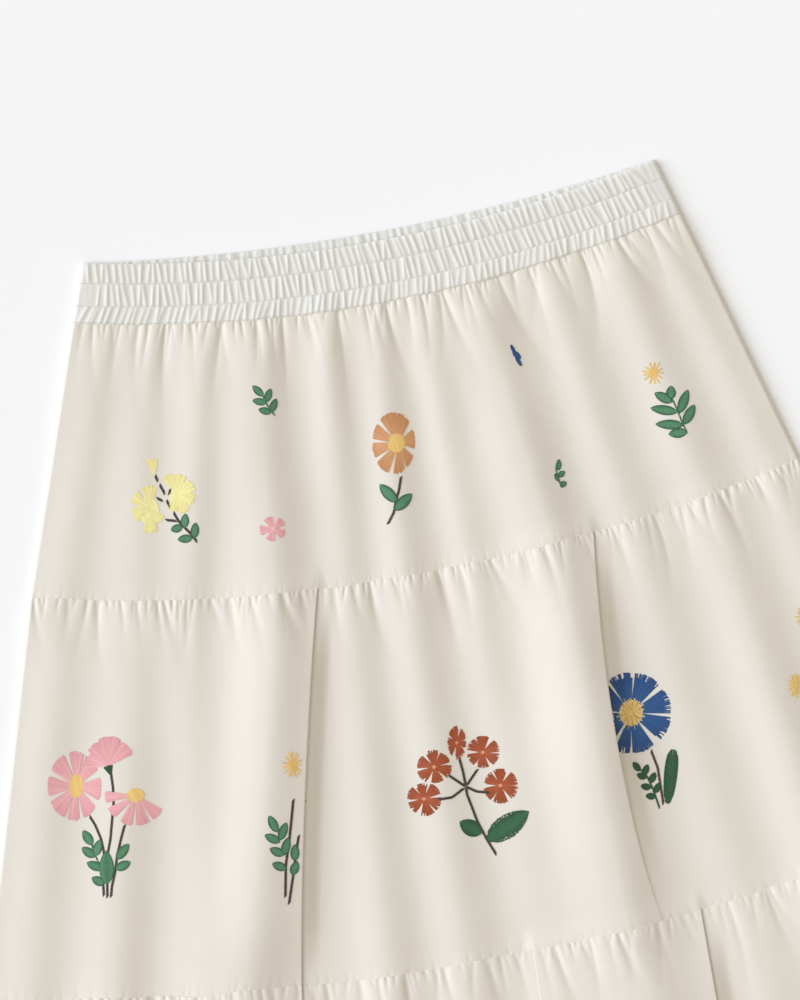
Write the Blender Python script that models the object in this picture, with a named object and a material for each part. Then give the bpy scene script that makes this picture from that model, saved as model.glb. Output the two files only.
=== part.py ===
"""Tiered maxi skirt with a shirred elastic waistband, laid flat on its back.

Metres, +Z up, waist towards +Y and hem towards -Y. The back panels lie flat on
the surface, the front panels lie on them and carry the folds and gathers.
Sizes below are in millimetres, and make_wall turns them to metres.
"""

import math
from collections import namedtuple

import bpy
import numpy as np

MM = 0.001

# Level lines across the laid skirt. drop is how far the middle of a line lies
# below the two waist corners, and its ends lie smile higher than its middle.
Level = namedtuple("Level", "drop half_width smile")
BACK_WAIST = Level(13.0, 175.0, 13.0)
FRONT_WAIST = Level(18.5, 175.0, 18.5)
BAND_SEAM = Level(56.0, 186.0, 21.0)
TIER1_SEAM = Level(220.0, 235.0, 27.0)
TIER2_SEAM = Level(455.0, 296.0, 30.0)
HEM = Level(855.0, 380.0, 38.0)
LEAN = math.tan(math.radians(-2.0))  # the skirt is laid a little out of square

SEAM_GAP = 0.4  # between pieces that are sewn together
LAYER_GAP = 0.3  # between cloths that lie on each other
BACK_CLOTH = 2.0  # the back with its folds pressed flat
FRONT_CLOTH = 1.2
BACK_BAND = 2.2
FRONT_BAND = 1.5
FRONT_REST = BACK_CLOTH + LAYER_GAP + FRONT_CLOTH  # top of the front cloth where it lies flat
BAND_REST = BACK_BAND + LAYER_GAP + FRONT_BAND

# Long folds of the front, from left to right. The first four columns are a fold's place
# across, from -1 at the left side to 1 at the right, and the next four its height, at the
# band seam, the first tier seam, the second tier seam and the hem. left and right are the
# widths of its two flanks, as shares of half the skirt.
Fold = namedtuple(
    "Fold",
    "place_band place_tier1 place_tier2 place_hem"
    " height_band height_tier1 height_tier2 height_hem left right",
)
FOLDS = (
    Fold(-0.90, -0.92, -0.91, -0.92, 1.5, 2.0, 3.0, 4.0, 0.06, 0.06),
    Fold(-0.78, -0.73, -0.74, -0.74, 1.0, 3.0, 6.5, 7.5, 0.08, 0.07),
    Fold(-0.58, -0.60, -0.58, -0.57, 3.5, 3.5, 2.0, 5.0, 0.07, 0.06),
    Fold(-0.41, -0.38, -0.48, -0.46, 4.5, 7.0, 9.0, 9.0, 0.12, 0.08),
    Fold(-0.19, -0.19, -0.18, -0.20, 5.0, 2.5, 5.0, 6.0, 0.06, 0.06),
    Fold(-0.03, -0.04, -0.02, -0.03, 3.0, 4.5, 4.0, 6.5, 0.06, 0.06),
    Fold(0.12, 0.13, 0.14, 0.15, 3.0, 3.0, 1.5, 5.0, 0.05, 0.06),
    Fold(0.31, 0.34, 0.31, 0.31, 4.5, 8.0, 10.0, 9.5, 0.12, 0.08),
    Fold(0.54, 0.55, 0.55, 0.56, 3.5, 3.0, 2.5, 6.0, 0.06, 0.07),
    Fold(0.76, 0.75, 0.73, 0.74, 3.5, 4.0, 7.0, 7.5, 0.07, 0.07),
    Fold(0.92, 0.93, 0.92, 0.93, 1.5, 2.0, 3.0, 4.0, 0.05, 0.05),
)

BAND_PINCH = 0.35  # share of a fold's height that is left where the waistband holds it
PINCH_END = 22.0  # the folds have their full height this far below the waistband

# Pleats where the cloth laps over itself. edge is where its outer fold shows, reach
# how far it laps, side +1 where the left cloth is on top, and strength 1 for a full
# turn under, less than half for a steep flank only. Edge and strength are given at the
# top, the middle and the bottom of the tier.
Pleat = namedtuple(
    "Pleat",
    "edge_top edge_middle edge_bottom reach side strength_top strength_middle strength_bottom",
)
TIER2_PLEATS = (
    Pleat(-0.268, -0.333, -0.360, 14.0, 1, 1.0, 1.0, 1.0),
    Pleat(0.452, 0.382, 0.385, 13.0, 1, 1.0, 0.95, 0.35),
)
TIER3_PLEATS = (
    Pleat(-0.360, -0.366, -0.370, 14.0, 1, 1.0, 0.9, 0.7),
    Pleat(0.114, 0.098, 0.090, 12.0, -1, 1.0, 0.85, 0.6),
    Pleat(0.464, 0.430, 0.430, 16.0, 1, 1.0, 1.0, 0.9),
)
# Radii of a pleat's outer and inner turn, pressed in a seam and loose away from it.
Turns = namedtuple("Turns", "over back")
PRESSED = Turns(1.5, 0.5)
LOOSE = Turns(2.0, 1.1)
LOOSE_FROM = 0.3  # share of a tier's height at which its pleats lie loose
PLEAT_RISE = 55.0  # length over which the cloth climbs on to a pleat
TURN_STEPS = 4  # columns round each turn

# Gathers below each seam: how many there are, and the tallest and longest of them.
Gathers = namedtuple("Gathers", "count height length seed")
TIER1_GATHERS = Gathers(24, 3.2, 60.0, 11)
TIER2_GATHERS = Gathers(29, 3.6, 60.0, 22)
TIER3_GATHERS = Gathers(32, 3.8, 80.0, 33)
GATHER_START = 3.0  # a gather grows to its height about this far below the seam
GATHER_DRIFT = 0.28  # how far a gather strays from its even place, in pitches
GATHER_WIDTHS = (0.2, 0.34)  # narrowest and widest, in pitches
GATHER_HEIGHTS = (0.45, 1.0)  # lowest and tallest, as shares of the tallest
GATHER_LENGTHS = (0.3, 1.0)  # shortest and longest, as shares of the longest
GATHER_SPREAD = 0.8  # a gather is this much wider again at the end of its length
FADE_POWER = 1.6  # above 1 a gather keeps its height at first and then fades fast

BAND_RIBS = 70
RIB_HEIGHT = 2.2
RIB_PUFF = 0.5  # the channels between stitch lines are this much fuller
# Rows of points down the front waistband: share of the way down, how much of a rib's
# height is left there, and how far the ribs lean sideways, in ribs.
BandRow = namedtuple("BandRow", "down fullness slant")
BAND_ROWS = (
    BandRow(0.0, 0.55, 0.0),
    BandRow(0.17, 1.0, 0.18),
    BandRow(0.34, 0.25, 0.0),
    BandRow(0.52, 1.0, 0.22),
    BandRow(0.71, 0.25, 0.05),
    BandRow(0.86, 1.0, 0.25),
    BandRow(1.0, 0.25, 0.1),
)

# Rows of points down each front tier, closer together where the gathers are short.
TIER1_ROWS = (0.0, 0.035, 0.16, 0.42, 0.7, 1.0)
TIER2_ROWS = (0.0, 0.025, 0.12, 0.32, 0.55, 0.78, 1.0)
TIER3_ROWS = (0.0, 0.015, 0.09, 0.26, 0.5, 0.75, 1.0)
COLUMNS_PER_GATHER = 4
BACK_COLUMNS = 24
SMOOTH_UNDER = math.radians(60)  # edges sharper than this stay crisp

IVORY = (0.86, 0.83, 0.76, 1.0)
COOL_IVORY = (0.82, 0.81, 0.76, 1.0)


def between(first, last, share):
    return first + (last - first) * share


def smooth_step(x):
    x = np.clip(x, 0.0, 1.0)
    return x * x * (3.0 - 2.0 * x)


def through(top, middle, bottom, v):
    """Value at v of the smooth curve through three values at v = 0, 0.5 and 1."""
    return top * (1.0 - v) * (1.0 - 2.0 * v) + middle * 4.0 * v * (1.0 - v) + bottom * v * (2.0 * v - 1.0)


def level_at(top, bottom, v):
    """The level line at share v of the way from one level down to the next."""
    return Level(*(between(a, b, v) for a, b in zip(top, bottom)))


def place_y(level, x):
    """y of a point of a level line that lies x from the line's middle."""
    return -(level.drop - level.smile * (x / level.half_width) ** 2)


def gather_table(gathers):
    """Place across, height, length and width of each gather, uneven as in sewn cloth."""
    draw = np.random.RandomState(gathers.seed)
    pitch = 2.0 / gathers.count
    drift = draw.uniform(-GATHER_DRIFT, GATHER_DRIFT, gathers.count)
    place = -1.0 + pitch * (np.arange(gathers.count) + 0.5 + drift)
    height = gathers.height * draw.uniform(*GATHER_HEIGHTS, gathers.count)
    length = gathers.length * draw.uniform(*GATHER_LENGTHS, gathers.count)
    width = pitch * draw.uniform(*GATHER_WIDTHS, gathers.count)
    return np.stack([place, height, length, width], axis=1)


def gather_height(table, share, below_seam):
    """Height that the gathers add at shares across, at a distance below their seam."""
    place, height, length, width = (column[:, None] for column in table.T)
    grown = 1.0 - math.exp(-((below_seam / GATHER_START) ** 2))
    fade = np.exp(-((below_seam / length) ** FADE_POWER))
    widening = 1.0 + GATHER_SPREAD * below_seam / length
    bumps = height * fade * grown * np.exp(-(((share - place) / (width * widening)) ** 2))
    return bumps.sum(axis=0)


def fold_height(tier, share, v):
    """Height of the long folds at shares across, at share v down tier 0, 1 or 2."""
    total = np.zeros_like(share)
    for fold in FOLDS:
        place = between(fold[tier], fold[tier + 1], v)
        height = between(fold[4 + tier], fold[5 + tier], v)
        flank = np.where(share < place, fold.left, fold.right)
        total += height * np.exp(-(((share - place) / flank) ** 2))
    return total


def pleat_profile(pleat, v, open_end):
    """Offsets of the points through a pleat, from left to right, and how far it drops."""
    strength = min(1.0, through(pleat.strength_top, pleat.strength_middle, pleat.strength_bottom, v))
    looseness = smooth_step(min(v, 1.0 if open_end else 1.0 - v) / LOOSE_FROM)
    turns = Turns(*(between(a, b, looseness) for a, b in zip(PRESSED, LOOSE)))
    turn = math.pi * strength
    straight = pleat.reach * max(0.0, 2.0 * strength - 1.0)
    over = [turns.over * turn / TURN_STEPS] * TURN_STEPS
    back = [turns.back * turn / TURN_STEPS] * TURN_STEPS
    middles = [(i + 0.5) / TURN_STEPS for i in range(TURN_STEPS)]
    headings = [-turn * m for m in middles] + [-turn] + [-turn * (1.0 - m) for m in middles]
    x, z = [0.0], [0.0]
    for length, heading in zip(over + [straight] + back, headings):
        x.append(x[-1] + length * math.cos(heading))
        z.append(z[-1] + length * math.sin(heading))
    x, z = np.array(x), np.array(z)
    drop = -z[-1]
    if pleat.side < 0:
        return x[-1] - x[::-1], z[::-1] + drop, drop
    return x, z + drop, drop


def cross_row(level, pleats, v, spans, open_end):
    """x of each column across a row, and the height that its pleats add there."""
    laid = []
    for pleat in pleats:
        across, height, drop = pleat_profile(pleat, v, open_end)
        edge = through(pleat.edge_top, pleat.edge_middle, pleat.edge_bottom, v) * level.half_width
        outermost = across.max() if pleat.side > 0 else across.min()
        laid.append((pleat, edge - outermost + across, height, drop))
    x, lift = [], []
    left = -level.half_width
    for i, count in enumerate(spans):
        right = laid[i][1][0] if i < len(laid) else level.half_width
        run = np.linspace(left, right, count)
        climb = np.zeros(count)
        if i < len(laid) and laid[i][0].side > 0:
            pleat, _, _, drop = laid[i]
            climb += drop * smooth_step(1.0 - (right - pleat.reach - run) / PLEAT_RISE)
        if i > 0 and laid[i - 1][0].side < 0:
            pleat, _, _, drop = laid[i - 1]
            climb += drop * smooth_step(1.0 - (run - left - pleat.reach) / PLEAT_RISE)
        x.append(run)
        lift.append(climb)
        if i < len(laid):
            _, across, height, _ = laid[i]
            x.append(across[1:-1])
            lift.append(height[1:-1])
            left = across[-1]
    return np.concatenate(x), np.concatenate(lift)


def span_counts(pleats, columns):
    """How many columns go to each stretch between pleats."""
    stops = [-1.0] + [pleat.edge_middle for pleat in pleats] + [1.0]
    return [max(4, round(columns * (b - a) / 2.0)) for a, b in zip(stops, stops[1:])]


def front_tier(tier, top, bottom, rows, pleats, gathers):
    """Outer points of a front tier, row by row from its top seam down."""
    table = gather_table(gathers)
    spans = span_counts(pleats, COLUMNS_PER_GATHER * gathers.count)
    open_end = bottom is HEM
    grid = []
    for v in rows:
        level = level_at(top, bottom, v)
        x, lift = cross_row(level, pleats, v, spans, open_end)
        share = x / level.half_width
        below = v * (bottom.drop - top.drop)
        held = between(BAND_PINCH, 1.0, smooth_step(below / PINCH_END)) if tier == 0 else 1.0
        folds = held * fold_height(tier, share, v)
        z = FRONT_REST + lift + folds + gather_height(table, share, below)
        y = place_y(level, x)
        grid.append(np.stack([x - LEAN * y, y, z], axis=1))
    grid[0][:, 1] -= SEAM_GAP / 2.0
    if not open_end:
        grid[-1][:, 1] += SEAM_GAP / 2.0
    return np.array(grid)


def inner_points(outer, thickness):
    """The wall's inner points: the outer ones moved in along the cloth's normal."""
    along = np.gradient(outer, axis=1)
    down = np.gradient(outer, axis=0)
    down[:, :, 2] = 0.0
    normal = np.cross(down, along)
    normal /= np.linalg.norm(normal, axis=2, keepdims=True)
    return outer - thickness * normal


def flat_panel(top, bottom, thickness, top_gap, bottom_gap):
    """Upper and lower points of a panel that lies flat on the surface."""
    upper = []
    for level, gap in ((top, -top_gap), (bottom, bottom_gap)):
        x = np.linspace(-level.half_width, level.half_width, BACK_COLUMNS + 1)
        y = place_y(level, x) + gap
        upper.append(np.stack([x - LEAN * y, y, np.full_like(x, thickness)], axis=1))
    upper = np.array(upper)
    lower = upper.copy()
    lower[:, :, 2] = 0.0
    return upper, lower


def ribbed_band():
    """Outer and inner points of the front waistband, its ribs pinched at the stitch lines."""
    columns = 2 * BAND_RIBS + 1
    rib = np.arange(columns) % 2
    outer = []
    for row in BAND_ROWS:
        level = level_at(FRONT_WAIST, BAND_SEAM, row.down)
        x = np.linspace(-level.half_width, level.half_width, columns)
        rib_pitch = 2.0 * level.half_width / BAND_RIBS
        x[1:-1] += row.slant * rib_pitch
        y = place_y(level, x)
        z = BAND_REST + RIB_HEIGHT * row.fullness * rib + RIB_PUFF * row.fullness
        outer.append(np.stack([x - LEAN * y, y, z], axis=1))
    outer = np.array(outer)
    outer[-1, :, 1] += SEAM_GAP / 2.0
    inner = outer[[0, -1]].copy()
    inner[:, :, 2] = BAND_REST - FRONT_BAND
    return outer, inner


def grid_faces(rows, columns, first, up):
    """Quads of a grid of points whose first point has that number."""
    faces = []
    for r in range(rows - 1):
        for c in range(columns - 1):
            a = first + r * columns + c
            face = (a, a + columns, a + columns + 1, a + 1)
            faces.append(face if up else face[::-1])
    return faces


def rim_faces(rows, inner_rows, columns):
    """Faces that join the outer and inner grids round their four edges."""
    base = rows * columns
    faces = []
    for c in range(columns - 1):
        faces.append((c, c + 1, base + c + 1, base + c))
        top, low = (rows - 1) * columns + c, base + (inner_rows - 1) * columns + c
        faces.append((top + 1, top, low, low + 1))
    for c, turned in ((0, False), (columns - 1, True)):
        outer = [r * columns + c for r in range(rows)]
        inner = [base + r * columns + c for r in range(inner_rows)]
        if rows == inner_rows:
            for r in range(rows - 1):
                face = (outer[r], inner[r], inner[r + 1], outer[r + 1])
                faces.append(face[::-1] if turned else face)
        else:
            face = tuple(outer[::-1] + inner)
            faces.append(face[::-1] if turned else face)
    return faces


def make_wall(name, outer, inner, material):
    """One closed wall of cloth from its outer and inner grids of points."""
    rows, columns = outer.shape[:2]
    inner_rows = inner.shape[0]
    points = np.concatenate([outer.reshape(-1, 3), inner.reshape(-1, 3)]) * MM
    faces = grid_faces(rows, columns, 0, True)
    faces += grid_faces(inner_rows, columns, rows * columns, False)
    faces += rim_faces(rows, inner_rows, columns)
    mesh = bpy.data.meshes.new(name)
    mesh.from_pydata(points.tolist(), [], faces)
    mesh.materials.append(material)
    mesh.validate()
    mesh.shade_smooth()
    mesh.set_sharp_from_angle(angle=SMOOTH_UNDER)
    obj = bpy.data.objects.new(name, mesh)
    bpy.context.scene.collection.objects.link(obj)
    return obj


def cloth_material(name, colour, roughness):
    material = bpy.data.materials.new(name)
    material.use_nodes = True
    shader = material.node_tree.nodes["Principled BSDF"]
    shader.inputs["Base Color"].default_value = colour
    shader.inputs["Roughness"].default_value = roughness
    shader.inputs["Metallic"].default_value = 0.0
    return material


def centre_on_origin(pieces):
    """Moves the skirt so that its box stands with the middle of its base on the origin."""
    corners = np.array([v.co[:] for piece in pieces for v in piece.data.vertices])
    middle = (corners.min(axis=0) + corners.max(axis=0)) / 2.0
    for piece in pieces:
        for vertex in piece.data.vertices:
            vertex.co.x -= middle[0]
            vertex.co.y -= middle[1]


def build():
    for obj in list(bpy.data.objects):
        bpy.data.objects.remove(obj)
    satin = cloth_material("ivory satin", IVORY, 0.5)
    shirred = cloth_material("ivory shirred band", COOL_IVORY, 0.6)
    half_gap = SEAM_GAP / 2.0
    pieces = []
    band_back = flat_panel(BACK_WAIST, BAND_SEAM, BACK_BAND, 0.0, half_gap)
    pieces.append(make_wall("waistband_back", *band_back, shirred))
    pieces.append(make_wall("waistband_front", *ribbed_band(), shirred))
    tiers = (
        (0, BAND_SEAM, TIER1_SEAM, TIER1_ROWS, (), TIER1_GATHERS),
        (1, TIER1_SEAM, TIER2_SEAM, TIER2_ROWS, TIER2_PLEATS, TIER2_GATHERS),
        (2, TIER2_SEAM, HEM, TIER3_ROWS, TIER3_PLEATS, TIER3_GATHERS),
    )
    for tier, top, bottom, rows, pleats, gathers in tiers:
        name = f"tier{tier + 1}"
        back = flat_panel(top, bottom, BACK_CLOTH, half_gap, 0.0 if bottom is HEM else half_gap)
        pieces.append(make_wall(f"{name}_back", *back, satin))
        outer = front_tier(tier, top, bottom, rows, pleats, gathers)
        pieces.append(make_wall(f"{name}_front", outer, inner_points(outer, FRONT_CLOTH), satin))
    centre_on_origin(pieces)


build()
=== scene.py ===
# %% [markdown]
# # A tiered, gathered skirt, laid flat
#
# This lesson dresses a plain model of an ivory satin skirt. The model gives the frame: a
# waistband and three tiers, each with a front and a back. We make the thin cloth that
# takes their place, with its gathers, folds and laps, then the stitches and the
# embroidered flowers, and last the light and the camera.
#
# Sizes are in millimetres while we work, because a tailor thinks in them, and one
# function turns them to metres in the frame's own place.

# %% Load the frame
import math
from collections import namedtuple

import bpy
import numpy as np
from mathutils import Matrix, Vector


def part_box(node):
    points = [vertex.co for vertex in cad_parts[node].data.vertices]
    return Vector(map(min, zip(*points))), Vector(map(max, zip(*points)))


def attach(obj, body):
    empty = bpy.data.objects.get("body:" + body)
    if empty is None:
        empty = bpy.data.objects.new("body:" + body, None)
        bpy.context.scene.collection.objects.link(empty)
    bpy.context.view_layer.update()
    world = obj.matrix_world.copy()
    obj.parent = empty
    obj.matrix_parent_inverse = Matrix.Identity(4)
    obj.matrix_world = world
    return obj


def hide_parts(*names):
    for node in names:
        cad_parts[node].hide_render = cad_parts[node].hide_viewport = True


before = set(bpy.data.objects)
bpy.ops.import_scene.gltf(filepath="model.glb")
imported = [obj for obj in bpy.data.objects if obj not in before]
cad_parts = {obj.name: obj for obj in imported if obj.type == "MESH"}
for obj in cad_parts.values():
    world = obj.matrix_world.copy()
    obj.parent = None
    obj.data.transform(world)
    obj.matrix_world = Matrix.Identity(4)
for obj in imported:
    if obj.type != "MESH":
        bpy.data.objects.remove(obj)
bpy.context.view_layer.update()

MM = 0.001

# %% [markdown]
# ## The pattern's level lines
#
# A laid skirt is crossed by a few curved lines: the waist edge, the seam under the
# waistband, the two tier seams and the hem. Each line is a shallow smile, because the
# sides of a skirt are as long as its middle but lie at a slant. Three numbers say where
# a line is: how far its middle lies below the waist corners, half its width, and how much
# higher its ends are than its middle. Everything else is placed between these lines.

# %% Level lines
Level = namedtuple("Level", "drop half_width smile")
BACK_WAIST = Level(13.0, 175.0, 13.0)
FRONT_WAIST = Level(18.5, 175.0, 18.5)
BAND_SEAM = Level(56.0, 186.0, 21.0)
TIER1_SEAM = Level(220.0, 235.0, 27.0)
TIER2_SEAM = Level(455.0, 296.0, 30.0)
HEM = Level(855.0, 380.0, 38.0)
LEAN = math.tan(math.radians(-2.0))  # the skirt is laid a little out of square

band_low, band_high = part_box("waistband_back")
waist_y = band_high[1] / MM
waist_x = (band_low[0] + band_high[0]) / 2.0 / MM - LEAN * (BAND_SEAM.drop - BAND_SEAM.smile)


def between(first, last, share):
    return first + (last - first) * share


def smooth_step(t):
    t = np.clip(t, 0.0, 1.0)
    return t * t * (3.0 - 2.0 * t)


def level_at(top, bottom, v):
    """The level line at share v of the way from one line down to the next."""
    return Level(*(between(a, b, v) for a, b in zip(top, bottom)))


def place_y(level, x):
    return -(level.drop - level.smile * (x / level.half_width) ** 2)


def to_frame(points):
    """Millimetres from the middle of the waist corners, turned to metres in the frame."""
    points = np.asarray(points, dtype=float).copy()
    points[..., 0] += waist_x - LEAN * points[..., 1]
    points[..., 1] += waist_y
    return points * MM


hem_low, hem_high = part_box("tier3_back")
print("hem width, frame and levels:", round((hem_high[0] - hem_low[0]) / MM, 1), 2 * HEM.half_width)

# %% [markdown]
# ## How gathered cloth is shaped
#
# A gathered seam crowds more cloth into a line than fits there, so the cloth stands up in
# small round puffs with sharp creases between them. Away from the seam the creases open
# and die out one by one, and the puffs run together into a few long soft folds. Two
# panels are laid so that the cloth laps over itself in a flat pleat.
#
# A simulation would find such a shape, but not this one: the folds have to lie where they
# lie in the photo. So each kind of fold is one short formula with a table of places, and
# the cloth's height is their sum. Places across are shares of half the skirt, from -1 at
# the left side to 1 at the right.

# %% Long folds
Fold = namedtuple(
    "Fold",
    "place_band place_tier1 place_tier2 place_hem"
    " height_band height_tier1 height_tier2 height_hem left right",
)
FOLDS = (
    Fold(-0.90, -0.92, -0.91, -0.92, 1.5, 2.0, 3.0, 4.0, 0.06, 0.06),
    Fold(-0.78, -0.73, -0.74, -0.74, 1.0, 3.0, 6.5, 7.5, 0.08, 0.07),
    Fold(-0.58, -0.60, -0.58, -0.57, 3.5, 3.5, 2.0, 5.0, 0.07, 0.06),
    Fold(-0.41, -0.38, -0.48, -0.46, 4.5, 7.0, 9.0, 9.0, 0.12, 0.08),
    Fold(-0.19, -0.19, -0.18, -0.20, 5.0, 2.5, 5.0, 6.0, 0.06, 0.06),
    Fold(-0.03, -0.04, -0.02, -0.03, 3.0, 4.5, 4.0, 6.5, 0.06, 0.06),
    Fold(0.12, 0.13, 0.14, 0.15, 3.0, 3.0, 1.5, 5.0, 0.05, 0.06),
    Fold(0.31, 0.34, 0.31, 0.31, 4.5, 8.0, 10.0, 9.5, 0.12, 0.08),
    Fold(0.54, 0.55, 0.55, 0.56, 3.5, 3.0, 2.5, 6.0, 0.06, 0.07),
    Fold(0.76, 0.75, 0.73, 0.74, 3.5, 4.0, 7.0, 7.5, 0.07, 0.07),
    Fold(0.92, 0.93, 0.92, 0.93, 1.5, 2.0, 3.0, 4.0, 0.05, 0.05),
)


def fold_height(number, share, v):
    """Height of the long folds at share v down tier 0, 1 or 2."""
    total = np.zeros_like(share)
    for fold in FOLDS:
        place = between(fold[number], fold[number + 1], v)
        height = between(fold[4 + number], fold[5 + number], v)
        flank = np.where(share < place, fold.left, fold.right)
        total += height * np.exp(-(((share - place) / flank) ** 2))
    return total


print("long folds on the front:", len(FOLDS))

# %% Creases of a gathered seam
Crease = namedtuple("Crease", "place depth length lean width", defaults=(1.25,))
SMALL_WIDTH = 0.75  # half width of a small crease at its seam
CREASE_OPENS = 15.0  # a crease is twice as wide this far from its seam
CREASE_SHARPNESS = 1.35
MOST_BEND = 0.005  # how far a crease bends aside, times the square of the distance in mm


def crease_table(main, small, middling, seed):
    """The named creases of a seam, and middling and small ones at random between them."""
    draw = np.random.RandomState(seed)
    rows = [Crease(*row) for row in main]
    for count, length, depth, width in ((middling, (14.0, 34.0), (0.3, 0.7), 1.1),
                                        (small, (2.5, 8.0), (0.4, 1.0), SMALL_WIDTH)):
        pitch = 2.0 / max(1, count)
        for i in range(count):
            place = -1.0 + pitch * (i + 0.5 + draw.uniform(-0.45, 0.45))
            rows.append(Crease(place, draw.uniform(*depth), draw.uniform(*length),
                               draw.uniform(-0.25, 0.3), width))
    bends = draw.uniform(-MOST_BEND, MOST_BEND, len(rows))
    return np.column_stack([rows, bends])


def creased(creases, level, x, away):
    """How deeply the cloth is creased at points x, from 0 to 1, at a distance from the seam."""
    place, depth, length, lean, width, bend = (column[:, None] for column in creases.T)
    aside = np.abs(x - place * level.half_width - lean * away - bend * away ** 2)
    fade = np.exp(-((away / length) ** 1.5))
    trough = depth * fade * np.exp(-((aside / (width * (1.0 + away / CREASE_OPENS))) ** CREASE_SHARPNESS))
    return 1.0 - np.prod(1.0 - np.clip(trough, 0.0, 1.0), axis=0)


def puff_height(away, tall, rise, length):
    """Height of the puffs between creases: a quick rise from the seam, then a slow fade."""
    risen = 0.55 + 0.45 * (1.0 - math.exp(-((away / rise) ** 1.3)))
    return tall * risen * math.exp(-((away / length) ** 1.4))


print("a puff of 2 mm is this tall 30 mm from its seam:", round(puff_height(30.0, 2.0, 3.2, 60.0), 2))

# %% Soft noise
def soft_noise(seed, share, down, cells_across, cells_down):
    """Smooth random values from -1 to 1; share runs from -1 to 1, down from 0 to 1."""
    grid = np.random.RandomState(seed).uniform(-1.0, 1.0, (cells_down + 2, cells_across + 2))
    a, b = np.clip((share + 1) / 2, 0.0, 1.0) * cells_across, np.clip(down, 0.0, 1.0) * cells_down
    i, j = np.floor(a).astype(int), np.floor(b).astype(int)
    u, w = smooth_step(a - i), smooth_step(b - j)
    top = grid[j, i] * (1 - u) + grid[j, i + 1] * u
    low = grid[j + 1, i] * (1 - u) + grid[j + 1, i + 1] * u
    return top * (1 - w) + low * w


print("soft noise at three places:", soft_noise(1, np.array([-0.5, 0.0, 0.5]), 0.5, 9, 2).round(2))

# %% [markdown]
# ## Laps
#
# Where a panel is fuller than its place, the cloth doubles back under itself. Seen from
# the end such a lap is an S: over the outer turn, back underneath, and round the inner
# turn. The S is walked in small steps, each with its own heading, so it can't cross
# itself. It is pressed thin in the seams. Between them it is loose and lies on a low bank
# of cloth, whose far slope holds the wide soft shade beside the lap's crisp edge.

# %% Laps
# Where the lap's edge is in the top seam, half way and in the bottom seam, how far the cloth
# goes back, the side it opens to, how fully it is folded in those three, and its bank's height.
Lap = namedtuple("Lap", "edges reach side strengths bank")
Laid = namedtuple("Laid", "lap x height drop bank")  # a lap's points in one row
Turns = namedtuple("Turns", "over back")  # radii of the outer and the inner turn
TIER2_LAPS = (
    Lap((-0.268, -0.328, -0.360), 14.0, 1, (1.0, 1.0, 1.0), 4.2),
    Lap((0.452, 0.382, 0.385), 13.0, 1, (1.0, 0.9, 0.1), 3.2),
)
TIER3_LAPS = (
    Lap((-0.360, -0.366, -0.370), 14.0, 1, (1.0, 0.9, 0.7), 3.6),
    Lap((0.114, 0.098, 0.090), 12.0, -1, (1.0, 0.85, 0.6), 1.2),
    Lap((0.464, 0.430, 0.430), 16.0, 1, (1.0, 1.0, 0.9), 3.6),
)
PRESSED = Turns(0.45, 0.3)
LOOSE = Turns(0.6, 0.35)
LOOSE_FROM = 50.0  # distance from a seam at which its laps lie loose
LAP_RISE = 55.0  # length over which the cloth climbs on to a lap
BANK_WIDTH = 11.0  # a lap lies on a low bank, which falls away over this width on its open side
TURN_STEPS = 8
PRESSED_DROP = 2.0 * (PRESSED.over + PRESSED.back)


def height_of(tier):
    return tier.bottom.drop - tier.top.drop


def through(values, v):
    """Value at v of the smooth curve through three values at v = 0, 0.5 and 1."""
    top, middle, bottom = values
    return top * (1.0 - v) * (1.0 - 2.0 * v) + middle * 4.0 * v * (1.0 - v) + bottom * v * (2.0 * v - 1.0)


def lap_profile(lap, v, from_seam):
    """Offsets of the points through a lap, from left to right, how far it drops, and its bank."""
    strength = min(1.0, through(lap.strengths, v))
    looseness = smooth_step(from_seam / LOOSE_FROM)
    over, back = (between(a, b, looseness) for a, b in zip(PRESSED, LOOSE))
    turn = math.pi * strength
    straight = max(0.05, lap.reach * max(0.0, 2.0 * strength - 1.0) ** 3 / TURN_STEPS)
    lengths = np.repeat([over * turn / TURN_STEPS, straight, back * turn / TURN_STEPS], TURN_STEPS)
    middles = (np.arange(TURN_STEPS) + 0.5) / TURN_STEPS
    headings = -turn * np.concatenate([middles, np.ones(TURN_STEPS), 1.0 - middles])
    x = np.concatenate([[0.0], np.cumsum(lengths * np.cos(headings))])
    z = np.concatenate([[0.0], np.cumsum(lengths * np.sin(headings))])
    drop = -z[-1]
    bank = lap.bank * looseness * smooth_step((strength - 0.2) / 0.7)
    if lap.side < 0:
        return x[-1] - x[::-1], z[::-1] + drop, drop, bank
    return x, z + drop, drop, bank


def outermost(lap, across):
    return across.max() if lap.side > 0 else across.min()


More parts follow.
